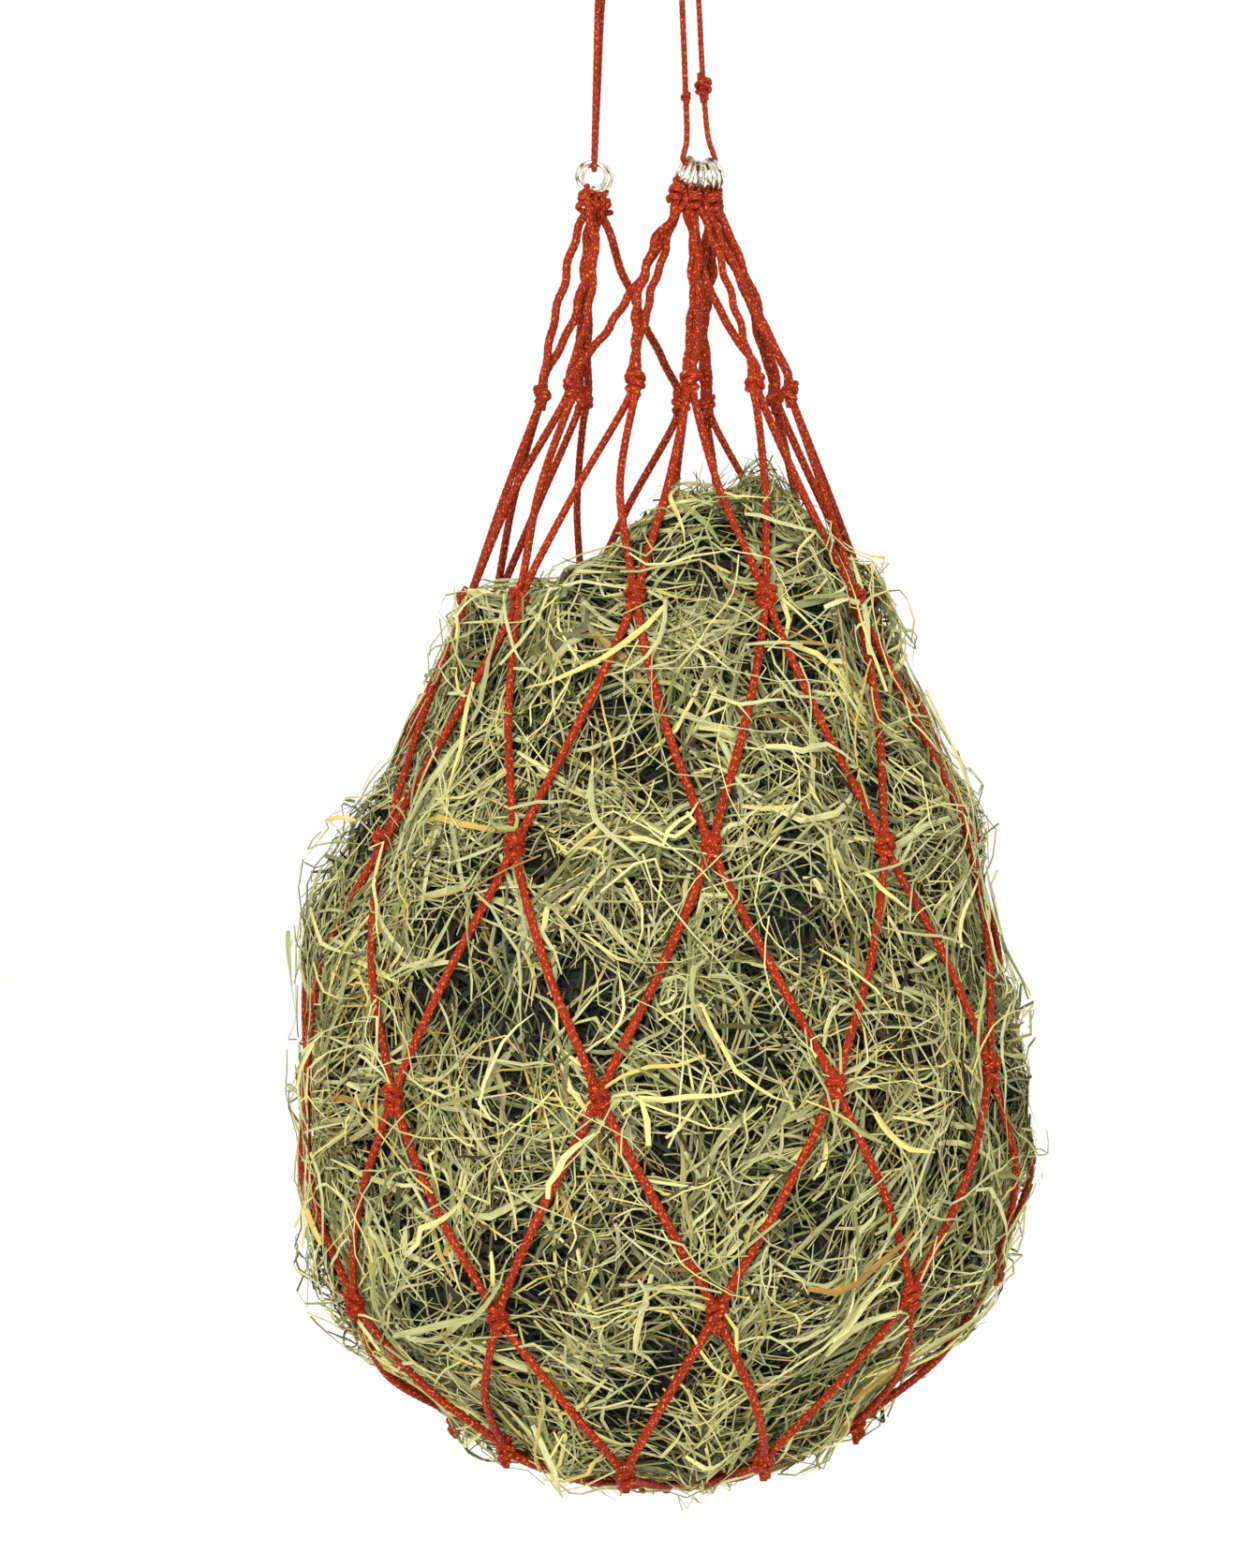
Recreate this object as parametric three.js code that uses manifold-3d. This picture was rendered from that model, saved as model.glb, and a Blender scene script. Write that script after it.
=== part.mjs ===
// Hanging hay net: a knotted cord bag, ten meshes round, filled with loose hay.
// Ten steel rings at its mouth run on one draw cord, which is slung over a D-shaped hanging ring.
// Millimetres, +Z up, front at -Y. The origin is the seat of the hook, inside the top of the D ring.
// Angles round the bag are in degrees from the front, turning towards +X.

import * as THREE from 'three';
import { mergeVertices } from 'three/addons/utils/BufferGeometryUtils.js';
import Module from 'manifold-3d';

// ---- driving dimensions ----

const GAP = 0.3;                        // clearance between pieces that touch

const D_RING = { wire: 7, halfWidth: 60, height: 52, corner: 8 };       // to the wire's centreline
const BAR_HEIGHT = D_RING.wire / 2 - D_RING.height;     // centreline of the straight bar

const DRAW_CORD = 4.2;                  // cord diameters
const NET_CORD = 5.2;
const LOOP_CORD = 2.8;                  // the top loops are pulled thin and tight
const GATHER_CORD = 5.2;

const RING = { wire: 3, outer: 24.5 };
const RING_RADIUS = (RING.outer - RING.wire) / 2;
const RING_DROP = RING_RADIUS - (RING.wire + DRAW_CORD) / 2 - GAP;    // draw cord to ring centre

const MESHES = 10;                      // meshes round the bag
const MESH_TURN = 360 / MESHES;
const HALF_TURN = MESH_TURN / 2;
const FIRST_KNOT = 8;                   // angle of the first knot in the odd rows

// rows of knots from the mouth down; the last row is the gathered bottom
const ROWS = [
  { radius: 94, height: -387 },
  { radius: 152, height: -545 },
  { radius: 222, height: -723 },
  { radius: 265, height: -891 },
  { radius: 248, height: -1044 },
  { radius: 160, height: -1167 },
  { radius: 30, height: -1198 },
];
const LAST_ROW = ROWS.length;

const KNOT = { wide: 7.5, deep: 6.5, high: 10.5 };      // half sizes of a mesh knot
const BIGHT = { wide: 6, deep: 4, high: 5 };            // half sizes of a bottom bight
const KNOT_REACH = 0.06;                // a knot's half height as a share of a bar
const SIDE_STEP = NET_CORD / 2 + GAP;                   // cord centre to the knot's middle plane

const GATHER_RADIUS = ROWS[LAST_ROW - 1].radius - BIGHT.deep - GATHER_CORD / 2 - 2 * GAP;

const HAY_INSET = 9;                  // hay under the cords, and its swell in a mesh
const HAY_SWELL = 21;
const HAY_BOTTOM = -1188;

// the bag hangs a little out of true: near each centre the cords lie pushed along X
const PUSHES = [
  { centre: [-60, -70, -390], reach: [60, 60, 80], push: 26 },
  { centre: [-13, 93, -390], reach: [45, 45, 80], push: 28 },
  { centre: [44, 83, -390], reach: [30, 30, 80], push: -16 },
  { centre: [0, 0, -545], reach: [400, 400, 90], push: 6 },
];
const TILT = { top: -700, full: -880, slope: 0.036 };   // lower rows rise towards +X
const BOTTOM = { top: -1040, full: -1170, rise: 15, from: 20, to: 170 };   // its sides curve up

// ---- small tools ----

const wasm = await Module();
wasm.setup();

const rad = THREE.MathUtils.degToRad;
const point = (x, y, z) => new THREE.Vector3(x, y, z);

/** A smooth curve with one tube station at each of its points. */
class StationCurve extends THREE.CatmullRomCurve3 {
  getUtoTmapping(u) {
    return u;
  }
}

/** A closed round bar along the points, one step between each two. */
function tube(points, diameter, sides) {
  const corners = [];
  for (let i = 0; i < sides; i++) {
    const turn = (2 * Math.PI * i) / sides;
    corners.push(new THREE.Vector2(Math.cos(turn), Math.sin(turn)).multiplyScalar(diameter / 2));
  }
  return new THREE.ExtrudeGeometry(new THREE.Shape(corners), {
    steps: points.length - 1,
    bevelEnabled: false,
    extrudePath: new StationCurve(points),
  });
}

/** The geometry with its shared corners merged, holding positions only. */
function plain(geometry) {
  const bare = geometry.clone();
  bare.deleteAttribute('normal');
  bare.deleteAttribute('uv');
  return mergeVertices(bare, 1e-3);
}

function toSolid(geometry) {
  const merged = plain(geometry);
  return new wasm.Manifold(new wasm.Mesh({
    numProp: 3,
    vertProperties: new Float32Array(merged.attributes.position.array),
    triVerts: new Uint32Array(merged.index.array),
  }));
}

function toGeometry(solid) {
  const mesh = solid.getMesh();
  const geometry = new THREE.BufferGeometry();
  geometry.setAttribute('position', new THREE.Float32BufferAttribute(mesh.vertProperties, 3));
  geometry.setIndex(new THREE.BufferAttribute(mesh.triVerts, 1));
  return geometry;
}

function joined(geometries) {
  return toGeometry(geometries.map(toSolid).reduce((all, next) => all.add(next)));
}

function ellipsoid(centre, halfSizes, across, down) {
  const [x, y, z] = halfSizes;
  const geometry = new THREE.SphereGeometry(1, across, down);
  return geometry.rotateX(Math.PI / 2).scale(x, y, z).translate(centre.x, centre.y, centre.z);
}

// ---- materials ----

const finish = (color, roughness, metalness) =>
  new THREE.MeshStandardMaterial({ color, roughness, metalness });

const steel = () => finish(0xd8d8d4, 0.2, 1);
const redCord = () => finish(0xb8361e, 0.7, 0);
const hayGreen = () => finish(0xa8ad7c, 0.95, 0);

const group = new THREE.Group();
group.name = 'hay_net';

function addMesh(name, geometry, material) {
  const mesh = new THREE.Mesh(geometry, material);
  mesh.name = name;
  group.add(mesh);
  return mesh;
}

// ---- the shape of the bag ----

const profile = new THREE.CatmullRomCurve3(ROWS.map((row) => point(row.radius, 0, row.height)));

/** Radius and height of the bag's surface under an inset; row starts at 1 and may be a fraction. */
function bagProfile(row, inset = 0) {
  const share = (row - 1) / (LAST_ROW - 1);
  const at = profile.getPoint(share);
  const tangent = profile.getTangent(share);
  return { radius: at.x + tangent.z * inset, height: at.z - tangent.x * inset };
}

/** A point on the bag, sunk into it by inset and moved sideways by side. */
function onBag(row, angle, inset = 0, side = 0) {
  const { radius, height } = bagProfile(row, inset);
  const out = point(Math.sin(rad(angle)), -Math.cos(rad(angle)), 0);
  const along = point(Math.cos(rad(angle)), Math.sin(rad(angle)), 0);
  return out.multiplyScalar(radius).addScaledVector(along, side).setZ(height);
}

/** How the hanging bag settles: local pushes along X, a tilt of its lower half, and a bottom that
 * curves up to both sides. */
function settle(at) {
  const settled = at.clone();
  for (const { centre, reach, push } of PUSHES) {
    const far = centre.reduce((sum, c, i) => sum + ((at.getComponent(i) - c) / reach[i]) ** 2, 0);
    settled.x += push * Math.exp(-far);
  }
  settled.z += TILT.slope * at.x * THREE.MathUtils.smoothstep(-at.z, -TILT.top, -TILT.full);
  const low = THREE.MathUtils.smoothstep(-at.z, -BOTTOM.top, -BOTTOM.full);
  settled.z += BOTTOM.rise * low * THREE.MathUtils.smoothstep(Math.abs(at.x), BOTTOM.from, BOTTOM.to);
  return settled;
}

function settled(geometry) {
  const position = geometry.attributes.position;
  for (let i = 0; i < position.count; i++) {
    const moved = settle(new THREE.Vector3().fromBufferAttribute(position, i));
    position.setXYZ(i, moved.x, moved.y, moved.z);
  }
  return geometry;
}

// ---- hanging D ring ----

/** Half of the D: along the bar to one side, round the corner and up the bow to the top. */
function halfDRing(side) {
  const { halfWidth, height, corner, wire } = D_RING;
  const points = [point(-side, 0, BAR_HEIGHT), point(side * (halfWidth - corner), 0, BAR_HEIGHT)];
  for (const turn of [30, 60, 90]) {
    const x = halfWidth - corner + corner * Math.sin(rad(turn));
    const z = BAR_HEIGHT + corner * (1 - Math.cos(rad(turn)));
    points.push(point(side * x, 0, z));
  }
  for (let turn = 30; turn <= 90; turn += 10) {
    const x = halfWidth * Math.cos(rad(turn));
    const z = BAR_HEIGHT + height * Math.sin(rad(turn));
    points.push(point(side * x, 0, z));
  }
  points.push(point(-side, 0, wire / 2));
  return tube(points, wire, 8);
}

addMesh('hanging_d_ring', joined([halfDRing(1), halfDRing(-1)]), steel());

// ---- places of the ten rings on the draw cord ----

/**
 * A ring's seat: the draw cord's centre where it hangs, the ring's normal, and its way down.
 * yaw turns the normal from +X, lean tips the foot along the normal, swing moves it in plane.
 */
function ringSeat(angle, at, yaw, lean, swing) {
  const level = point(Math.cos(rad(yaw)), Math.sin(rad(yaw)), 0);
  const normal = level.clone().multiplyScalar(Math.cos(rad(lean))).setZ(Math.sin(rad(lean)));
  const down = level.clone().multiplyScalar(Math.sin(rad(lean))).setZ(-Math.cos(rad(lean)));
  const across = normal.clone().cross(down);
  down.multiplyScalar(Math.cos(rad(swing))).addScaledVector(across, Math.sin(rad(swing)));
  return { angle, at, normal, down };
}

const RIGHT_BEND = { centre: [27, 0, -219.5], radius: 19, step: 12, rings: 7, heading: 28 };
const LEFT_BEND = { centre: [-51.5, 0, -220], radius: 24, step: 11, rings: 3, heading: -90 };

/** A point of a bend, which dips in the middle and runs along its heading; place counts rings. */
function onBend(bend, place) {
  const turn = rad(place * bend.step);
  const heading = point(Math.cos(rad(bend.heading)), Math.sin(rad(bend.heading)), 0);
  const at = point(...bend.centre).addScaledVector(heading, bend.radius * Math.sin(turn));
  at.z += bend.radius * (1 - Math.cos(turn));
  return at;
}

/** Seats of the rings along a bend of the draw cord, a mesh apart round the bag. */
function bendSeats(bend, firstAngle, yawStep, leanStep, swings) {
  return swings.map((swing, i) => {
    const place = i - (bend.rings - 1) / 2;
    const yaw = bend.heading + place * yawStep;
    return ringSeat(firstAngle + i * MESH_TURN, onBend(bend, place), yaw, place * leanStep, swing);
  });
}

const RIGHT_SWINGS = [-14, 4, -14, 2, -12, 4, 24];
const LEFT_SWINGS = [16, 0, -16];
const rightSeats = bendSeats(RIGHT_BEND, -46, 2, 8.5, RIGHT_SWINGS);
const leftSeats = bendSeats(LEFT_BEND, 206, 0, 9, LEFT_SWINGS);
const seats = [...rightSeats, ...leftSeats].sort((a, b) => a.angle - b.angle);

// ---- steel rings ----

seats.forEach((seat, i) => {
  const torus = new THREE.TorusGeometry(RING_RADIUS, RING.wire / 2, 6, 16);
  const ring = addMesh(`steel_ring_${i + 1}`, torus, steel());
  const across = seat.down.clone().cross(seat.normal);
  const basis = new THREE.Matrix4().makeBasis(across, seat.normal.clone().cross(across), seat.normal);
  ring.quaternion.setFromRotationMatrix(basis);
  ring.position.copy(seat.at).addScaledVector(seat.down, RING_DROP);
});

// ---- draw cord ----

const WRAP = (D_RING.wire + DRAW_CORD) / 2 + 1;         // cord centre round the bar, wrapped loosely

/** Points round the bar; turn 0 is above it and 90 behind it. */
function roundBar(fromX, toX, fromTurn, toTurn, steps) {
  const points = [];
  for (let i = 0; i <= steps; i++) {
    const turn = rad(THREE.MathUtils.lerp(fromTurn, toTurn, i / steps));
    const x = THREE.MathUtils.lerp(fromX, toX, i / steps);
    points.push(point(x, WRAP * Math.sin(turn), BAR_HEIGHT + WRAP * Math.cos(turn)));
  }
  return points;
}

const BEND_STEPS = 6;
const BEND_BEYOND = 0.8;                // ring spaces that a bend runs on past its first and last ring

/** The cord's way through a bend's rings, with a little of the same curve beyond each end. */
function throughBend(bend) {
  const points = [];
  const end = (bend.rings - 1) / 2 + BEND_BEYOND;
  for (let i = 0; i <= BEND_STEPS; i++) {
    points.push(onBend(bend, THREE.MathUtils.lerp(-end, end, i / BEND_STEPS)));
  }
  return points;
}

const RIGHT_TIE = point(24.5, 0, -64);
const LEFT_TIE = point(-48.5, 0, -64);

const drawCordRoute = [
  // tied at the right: up the front of the bar, over it and down into its own knot
  point(24, -2.6, -65),
  ...roundBar(24, 25, -90, 90, 4),
  point(25, 2.8, -62),
  point(25, 1, -74),
  point(26.6, 1.5, -94),
  point(30, 3, -155),
  point(34, 6, -196),
  // up and down through the seven rings at the right
  ...throughBend(RIGHT_BEND).reverse(),
  point(17.5, -5.6, -200),
  point(16.6, -5.6, -160),
  point(14, -6, -94),
  point(12.4, -6, -62),
  // one and a half turns along the bar to the left
  ...roundBar(12, -40.5, -90, 450, 12),
  point(-41.5, 6.8, -62),
  point(-45.5, 7, -94),
  point(-48.5, 7.8, -155),
  point(-50.8, 9.4, -203),
  // through the three rings at the left
  ...throughBend(LEFT_BEND),
  point(-51.2, -9.4, -203),
  point(-50.2, -7, -155),
  point(-48.8, -3.5, -94),
  point(-48, -1, -74),
  point(-48, -2.8, -62),
  // and tied off there the same way
  ...roundBar(-48, -49, -90, 90, 4),
  point(-49, 2.6, -65),
];

const TIE_HALF = [5.6, 5.6, 7.5];       // half sizes of the cord's knots
const STRAND_KNOTS = [
  { at: point(27.9, 2, -158), half: [5, 5, 9] },
  { at: point(15.9, -5.7, -167), half: [3.2, 3.2, 4] },
];

addMesh('draw_cord', joined([
  tube(drawCordRoute, DRAW_CORD, 8),
  ellipsoid(RIGHT_TIE, TIE_HALF, 8, 6),
  ellipsoid(LEFT_TIE, TIE_HALF, 8, 6),
  ...STRAND_KNOTS.map(({ at, half }) => ellipsoid(at, half, 8, 6)),
]), redCord());

// ---- top loops ----

const LOOP_TOP = -247;                  // the first level at which the legs lie side by side
const LOOP_END = ROWS[0].height + KNOT.high + 1;
const LEVELS = 6;
const LEG_SPACE = 1.45 * LOOP_CORD;     // least distance of two legs on a level
const LEG_ROUNDS = 90;
const SMOOTH_ROUNDS = 12;
const SMOOTHING = 0.25;
const CROSSING = 3;                     // how far one foot is past another before the two cross
const FUNNEL = 1.2;                     // above 1 the legs stay together longer before they part
const SHOULDER = 0.21;                  // how far the loop stands off the wire halfway over it

const LOOP_SIDE = (RING.wire + LOOP_CORD) / 2 + GAP + 0.1;    // leg centre to the wire's centre
const LOOP_OVER = RING_DROP + RING_RADIUS - LOOP_SIDE;  // draw cord to the loop over the wire
const FOOT = RING_DROP + RING_RADIUS;

/** One leg of a loop: from a side of its ring's foot down to its knot. */
function loopLeg(seat, knotAngle, ringSide) {
  const foot = seat.at.clone().addScaledVector(seat.down, FOOT)
    .addScaledVector(seat.normal, ringSide * LOOP_SIDE);
  return { foot, knotAngle };
}

/** A loop's two legs, to the knots on its left and right; they leave the ring uncrossed. */
function loopLegs(seat) {
  const knots = [seat.angle - HALF_TURN, seat.angle + HALF_TURN];
  const ends = knots.map((angle) => settle(onBag(1, angle)));
  const apart = ends[1].clone().sub(ends[0]).setZ(0);
  const ringSide = apart.dot(seat.normal) > 0 ? -1 : 1;
  return [loopLeg(seat, knots[0], ringSide), loopLeg(seat, knots[1], -ringSide)];
}

/** Two legs that meet at a knot take the sides of it on which they arrive without crossing. */
function meetAtKnot(one, other) {
  const angle = rad(one.knotAngle);
  const along = point(Math.cos(angle), Math.sin(angle), 0);
  const isAhead = one.foot.clone().sub(other.foot).dot(along) > CROSSING;
  routeLeg(one, isAhead ? 1 : -1);
  routeLeg(other, isAhead ? -1 : 1);
}

/** Places a leg's points on the levels between its foot and its side of the knot. */
function routeLeg(leg, knotSide) {
  const end = settle(onBag(1, leg.knotAngle, 0, knotSide * SIDE_STEP)).setZ(LOOP_END);
  leg.levels = [];
  for (let i = 0; i <= LEVELS; i++) {
    const share = i / LEVELS;
    const height = THREE.MathUtils.lerp(LOOP_TOP, LOOP_END, share);
    leg.levels.push(leg.foot.clone().lerp(end, share ** FUNNEL).setZ(height));
  }
}

/** Legs on one level push each other apart, then each leg is smoothed along its length. */
function spreadLegs(legs) {
  for (let round = 0; round < LEG_ROUNDS; round++) {
    for (let level = 0; level < LEVELS; level++) {
      for (let i = 0; i < legs.length; i++) {
        for (let j = i + 1; j < legs.length; j++) {
          const a = legs[i].levels[level];
          const b = legs[j].levels[level];
          const away = b.clone().sub(a);
          const short = LEG_SPACE - away.length();
          if (short > 0) {
            away.setLength(short / 2);
            a.sub(away);
            b.add(away);
          }
        }
      }
    }
    if (round < SMOOTH_ROUNDS) {
      for (const { levels } of legs) {
        for (let level = 1; level < LEVELS; level++) {
          const middle = levels[level - 1].clone().add(levels[level + 1]).multiplyScalar(0.5);
          levels[level].lerp(middle.setZ(levels[level].z), SMOOTHING);
        }
      }
    }
  }
}

const loops = seats.map(loopLegs);
loops.forEach((loop, i) => meetAtKnot(loop[1], loops[(i + 1) % MESHES][0]));
spreadLegs(loops.flat());

loops.forEach(([left, right], i) => {
  const seat = seats[i];
  const over = seat.at.clone().addScaledVector(seat.down, LOOP_OVER);
  const shoulder = (leg) => leg.foot.clone().lerp(over, 0.5)
    .addScaledVector(leg.foot.clone().sub(over).addScaledVector(seat.down, -LOOP_SIDE), SHOULDER);
  const route = [
    ...left.levels.toReversed(), left.foot, shoulder(left), over,
    shoulder(right), right.foot, ...right.levels,
  ];
  addMesh(`top_loop_${i + 1}`, plain(tube(route, LOOP_CORD, 6)), redCord());
});

// ---- lengthwise net cords ----

/** Swells the tube into a half knot at each of its knots: outwards, and away from its plane. */
function swellKnots(geometry, knots) {
  const position = geometry.attributes.position;
  for (let i = 0; i < position.count; i++) {
    const at = new THREE.Vector3().fromBufferAttribute(position, i);
    for (const { centre, angle, half } of knots) {
      const out = point(Math.sin(rad(angle)), -Math.cos(rad(angle)), 0);
      const along = point(Math.cos(rad(angle)), Math.sin(rad(angle)), 0);
      const offset = at.clone().sub(centre);
      const near = Math.max(0, 1 - Math.abs(offset.z) / half.high);
      const wider = near * (half.wide / (SIDE_STEP + NET_CORD / 2) - 1);
      const deeper = near * (half.deep / (NET_CORD / 2) - 1);
      at.addScaledVector(along, offset.dot(along) * wider);
      at.addScaledVector(out, Math.max(0, offset.dot(out)) * deeper);
    }
    position.setXYZ(i, at.x, at.y, at.z);
  }
  return geometry;
}

/**
 * A net cord runs down between two columns of knots in a zigzag and takes half of each knot.
 * lean is 1 where it starts at the lower angle of the two and -1 where it starts at the upper.
 */
function netCord(startAngle, lean) {
  const points = [];
  const knots = [];
  for (let row = 1; row <= LAST_ROW; row++) {
    const isFar = row % 2 === 0;
    const angle = startAngle + (isFar ? lean * HALF_TURN : 0);
    const inwards = isFar ? -lean : lean;
    const centre = onBag(row, angle);
    const middle = onBag(row, angle, 0, inwards * SIDE_STEP);
    const bend = (share) => {
      const zigzag = rad(Math.abs(share) * HALF_TURN) * bagProfile(row + share).radius;
      return onBag(row + share, angle, 0, inwards * Math.max(SIDE_STEP, zigzag));
    };
    knots.push({ centre, angle, half: row === LAST_ROW ? BIGHT : KNOT });
    points.push(row > 1 ? bend(-KNOT_REACH) : middle.clone().setZ(centre.z + KNOT.high), middle);
    if (row < LAST_ROW) {
      points.push(bend(KNOT_REACH), onBag(row + 0.5, angle + inwards * HALF_TURN / 2));
    }
  }
  return settled(plain(swellKnots(tube(points, NET_CORD, 6), knots)));
}

for (let i = 0; i < MESHES; i++) {
  const angle = FIRST_KNOT + i * MESH_TURN;
  addMesh(`net_cord_${2 * i + 1}`, netCord(angle, 1), redCord());
  addMesh(`net_cord_${2 * i + 2}`, netCord(angle, -1), redCord());
}

// ---- gather cord ----

const gather = new THREE.TorusGeometry(GATHER_RADIUS, GATHER_CORD / 2, 8, 24);
gather.translate(0, 0, ROWS[LAST_ROW - 1].height);
addMesh('gather_cord', settled(plain(gather)), redCord());

// ---- hay ----

const CAP_ROWS = 4;
const HAY_COLUMNS = 40;
const RIM_REACH = 120;                  // how far out the rim lies where the top's height is taken
const HAY_TOP = { low: -527, rise: 68, from: -90, to: 5, fall: 62, edge: 92, side: 132 };
const TUFT = { high: 34, at: 74, wide: 26 };

/** Height of the hay's uneven top: a low shelf at -X, a tuft at +X, and a fall beyond it. */
function hayTop(x) {
  const { low, rise, from, to, fall, edge, side } = HAY_TOP;
  const slope = rise * THREE.MathUtils.smoothstep(x, from, to);
  const drop = fall * THREE.MathUtils.smoothstep(x, edge, side);
  return low + slope - drop + TUFT.high * Math.exp(-(((x - TUFT.at) / TUFT.wide) ** 2));
}

/** How far into a mesh a place is: 0 on a cord and 1 in the middle of a mesh. */
function meshMiddle(row, angle) {
  const column = (angle - FIRST_KNOT) / HALF_TURN;
  const first = Math.sin((Math.PI / 2) * (column - row + 1));
  const second = Math.sin((Math.PI / 2) * (column + row - 1));
  return (first * second) ** 4;
}

function haySide(row, angle) {
  return onBag(row, angle, HAY_INSET - HAY_SWELL * meshMiddle(row, angle));
}

/** Rows of the hay's sides from its rim down, at half rows of knots below the second row. */
function haySideRow(rim, step) {
  return step < 2 ? THREE.MathUtils.lerp(rim, 2, step / 2) : 2 + (step - 2) / 2;
}

const SIDE_STEPS = 2 + 2 * (LAST_ROW - 1 - 2) + 1;

function hayPoint(level, angle) {
  const rimHeight = hayTop(RIM_REACH * Math.sin(rad(angle)));
  const rim = 1 + (ROWS[0].height - rimHeight) / (ROWS[0].height - ROWS[1].height);
  if (level <= CAP_ROWS) {
    const at = haySide(rim, angle);
    const share = level / CAP_ROWS;
    const height = THREE.MathUtils.lerp(hayTop(at.x * share), at.z, share ** 3);
    return point(at.x * share, at.y * share, height);
  }
  if (level <= CAP_ROWS + SIDE_STEPS) {
    return haySide(haySideRow(rim, level - CAP_ROWS), angle);
  }
  return point(0, 0, HAY_BOTTOM);
}

function hayFill() {
  const levels = CAP_ROWS + SIDE_STEPS + 1;
  const geometry = new THREE.SphereGeometry(1, HAY_COLUMNS, levels).rotateX(Math.PI / 2);
  const position = geometry.attributes.position;
  for (let level = 0; level <= levels; level++) {
    for (let column = 0; column <= HAY_COLUMNS; column++) {
      // columns start a quarter turn before the front, on the same angles as the knots
      const angle = (360 * (column % HAY_COLUMNS)) / HAY_COLUMNS - 90 + FIRST_KNOT;
      const at = hayPoint(level, angle);
      position.setXYZ(level * (HAY_COLUMNS + 1) + column, at.x, at.y, at.z);
    }
  }
  return settled(plain(geometry));
}

addMesh('hay_fill', hayFill(), hayGreen());

export default group;
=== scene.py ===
"""A hanging hay net: braided cords, steel rings and a D ring, and the loose hay that fills it.

Shapes are worked out in millimetres with numpy, and make_piece turns them to metres. Angles round
the bag are in degrees from the front (-Y), turning towards +X. Rows count the rings of knots from
the mouth, 1, down to the gathered bottom, 7, and may be fractions.
"""

import math

import bpy
import numpy as np
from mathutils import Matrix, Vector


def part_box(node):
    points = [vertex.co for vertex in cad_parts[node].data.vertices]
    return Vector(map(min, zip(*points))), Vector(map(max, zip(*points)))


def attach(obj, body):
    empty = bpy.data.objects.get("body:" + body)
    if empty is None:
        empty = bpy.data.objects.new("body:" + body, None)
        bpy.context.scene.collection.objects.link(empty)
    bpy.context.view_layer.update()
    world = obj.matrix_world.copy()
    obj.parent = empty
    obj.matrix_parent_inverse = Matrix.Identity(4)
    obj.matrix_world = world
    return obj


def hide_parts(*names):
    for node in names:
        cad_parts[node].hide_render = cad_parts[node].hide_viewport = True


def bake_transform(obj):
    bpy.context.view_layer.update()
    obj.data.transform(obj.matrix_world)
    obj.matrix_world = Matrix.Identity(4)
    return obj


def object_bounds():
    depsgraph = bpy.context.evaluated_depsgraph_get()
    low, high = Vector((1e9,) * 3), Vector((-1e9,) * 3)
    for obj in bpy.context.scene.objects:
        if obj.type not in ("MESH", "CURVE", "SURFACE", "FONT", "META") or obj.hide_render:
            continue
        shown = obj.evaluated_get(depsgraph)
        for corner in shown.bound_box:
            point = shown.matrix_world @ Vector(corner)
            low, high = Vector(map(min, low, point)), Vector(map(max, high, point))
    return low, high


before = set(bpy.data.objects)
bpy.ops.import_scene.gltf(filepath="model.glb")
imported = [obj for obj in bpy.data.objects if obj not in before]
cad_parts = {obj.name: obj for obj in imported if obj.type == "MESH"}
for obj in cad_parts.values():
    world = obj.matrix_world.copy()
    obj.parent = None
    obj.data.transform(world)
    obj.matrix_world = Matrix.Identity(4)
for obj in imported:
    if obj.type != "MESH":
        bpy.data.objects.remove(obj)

CAD_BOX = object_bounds()
MM = 0.001
UP = np.array([0.0, 0.0, 1.0])
PATTERN = "pattern"  # the map of every tube: x round it from 0 to 1, y along it in millimetres

# ---- sizes, in millimetres ----

DRAW_CORD = 4.2
LOOP_CORD = 5.9
RING_WIRE = 3.0
RING_RADIUS = 10.75
CAD_SLACK = 0.3
RING_DROP = RING_RADIUS - (RING_WIRE + DRAW_CORD) / 2 - CAD_SLACK

MESHES = 10
MESH_TURN = 360 / MESHES
HALF_TURN = MESH_TURN / 2
FIRST_KNOT = 8

# radius and height of each row of knots
ROWS = np.array(
    [(94, -387), (152, -545), (222, -723), (265, -891), (248, -1044), (160, -1167), (30, -1198)], float
)
LAST_ROW = len(ROWS)
KNOT_HIGH = 10.5
KNOT_REACH = 0.06
SIDE_STEP = 2.9
GATHER_RADIUS = 22.8

HAY_INSET = 9
HAY_SWELL = 21
HAY_BOTTOM = -1188
HEART_SUNK = 24
HEART_DROP = 26
BOTTOM_SLACK = 8
BOTTOM_SAG = 6

# the bag hangs a little out of true: centre, reach and push along X
PUSHES = [
    ((-60, -70, -390), (60, 60, 80), 26),
    ((-13, 93, -390), (45, 45, 80), 28),
    ((44, 83, -390), (30, 30, 80), -16),
    ((0, 0, -545), (400, 400, 90), 6),
]
TILT_SLOPE = 0.036
TILT_FROM, TILT_TO = 700, 880
BOTTOM_RISE = 15  # how far the bottom curves up to both sides
BOTTOM_FROM, BOTTOM_TO = 1040, 1170
SIDE_FROM, SIDE_TO = 20, 170

# where the hay swells the bag: angle, height, reach round, reach up, and the swell outwards
LUMPS = [
    (-92, -785, 34, 60, 32),
    (-90, -975, 24, 28, 8),
    (-92, -1098, 34, 24, 7),
    (-30, -760, 30, 60, 5),
    (90, -680, 34, 80, 16),
    (86, -843, 20, 20, 7),
    (92, -880, 26, 26, -12),
    (92, -965, 26, 30, 18),
    (90, -1098, 34, 24, 12),
    (92, -1145, 40, 28, -18),
    (-80, -1152, 36, 28, -20),
    (180, -820, 40, 90, 4),
]


# ---- curves and surfaces ----


def unit(vectors):
    return vectors / np.linalg.norm(vectors, axis=-1, keepdims=True)


def smoothstep(value, low, high):
    share = np.clip((value - low) / (high - low), 0, 1)
    return share * share * (3 - 2 * share)


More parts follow.
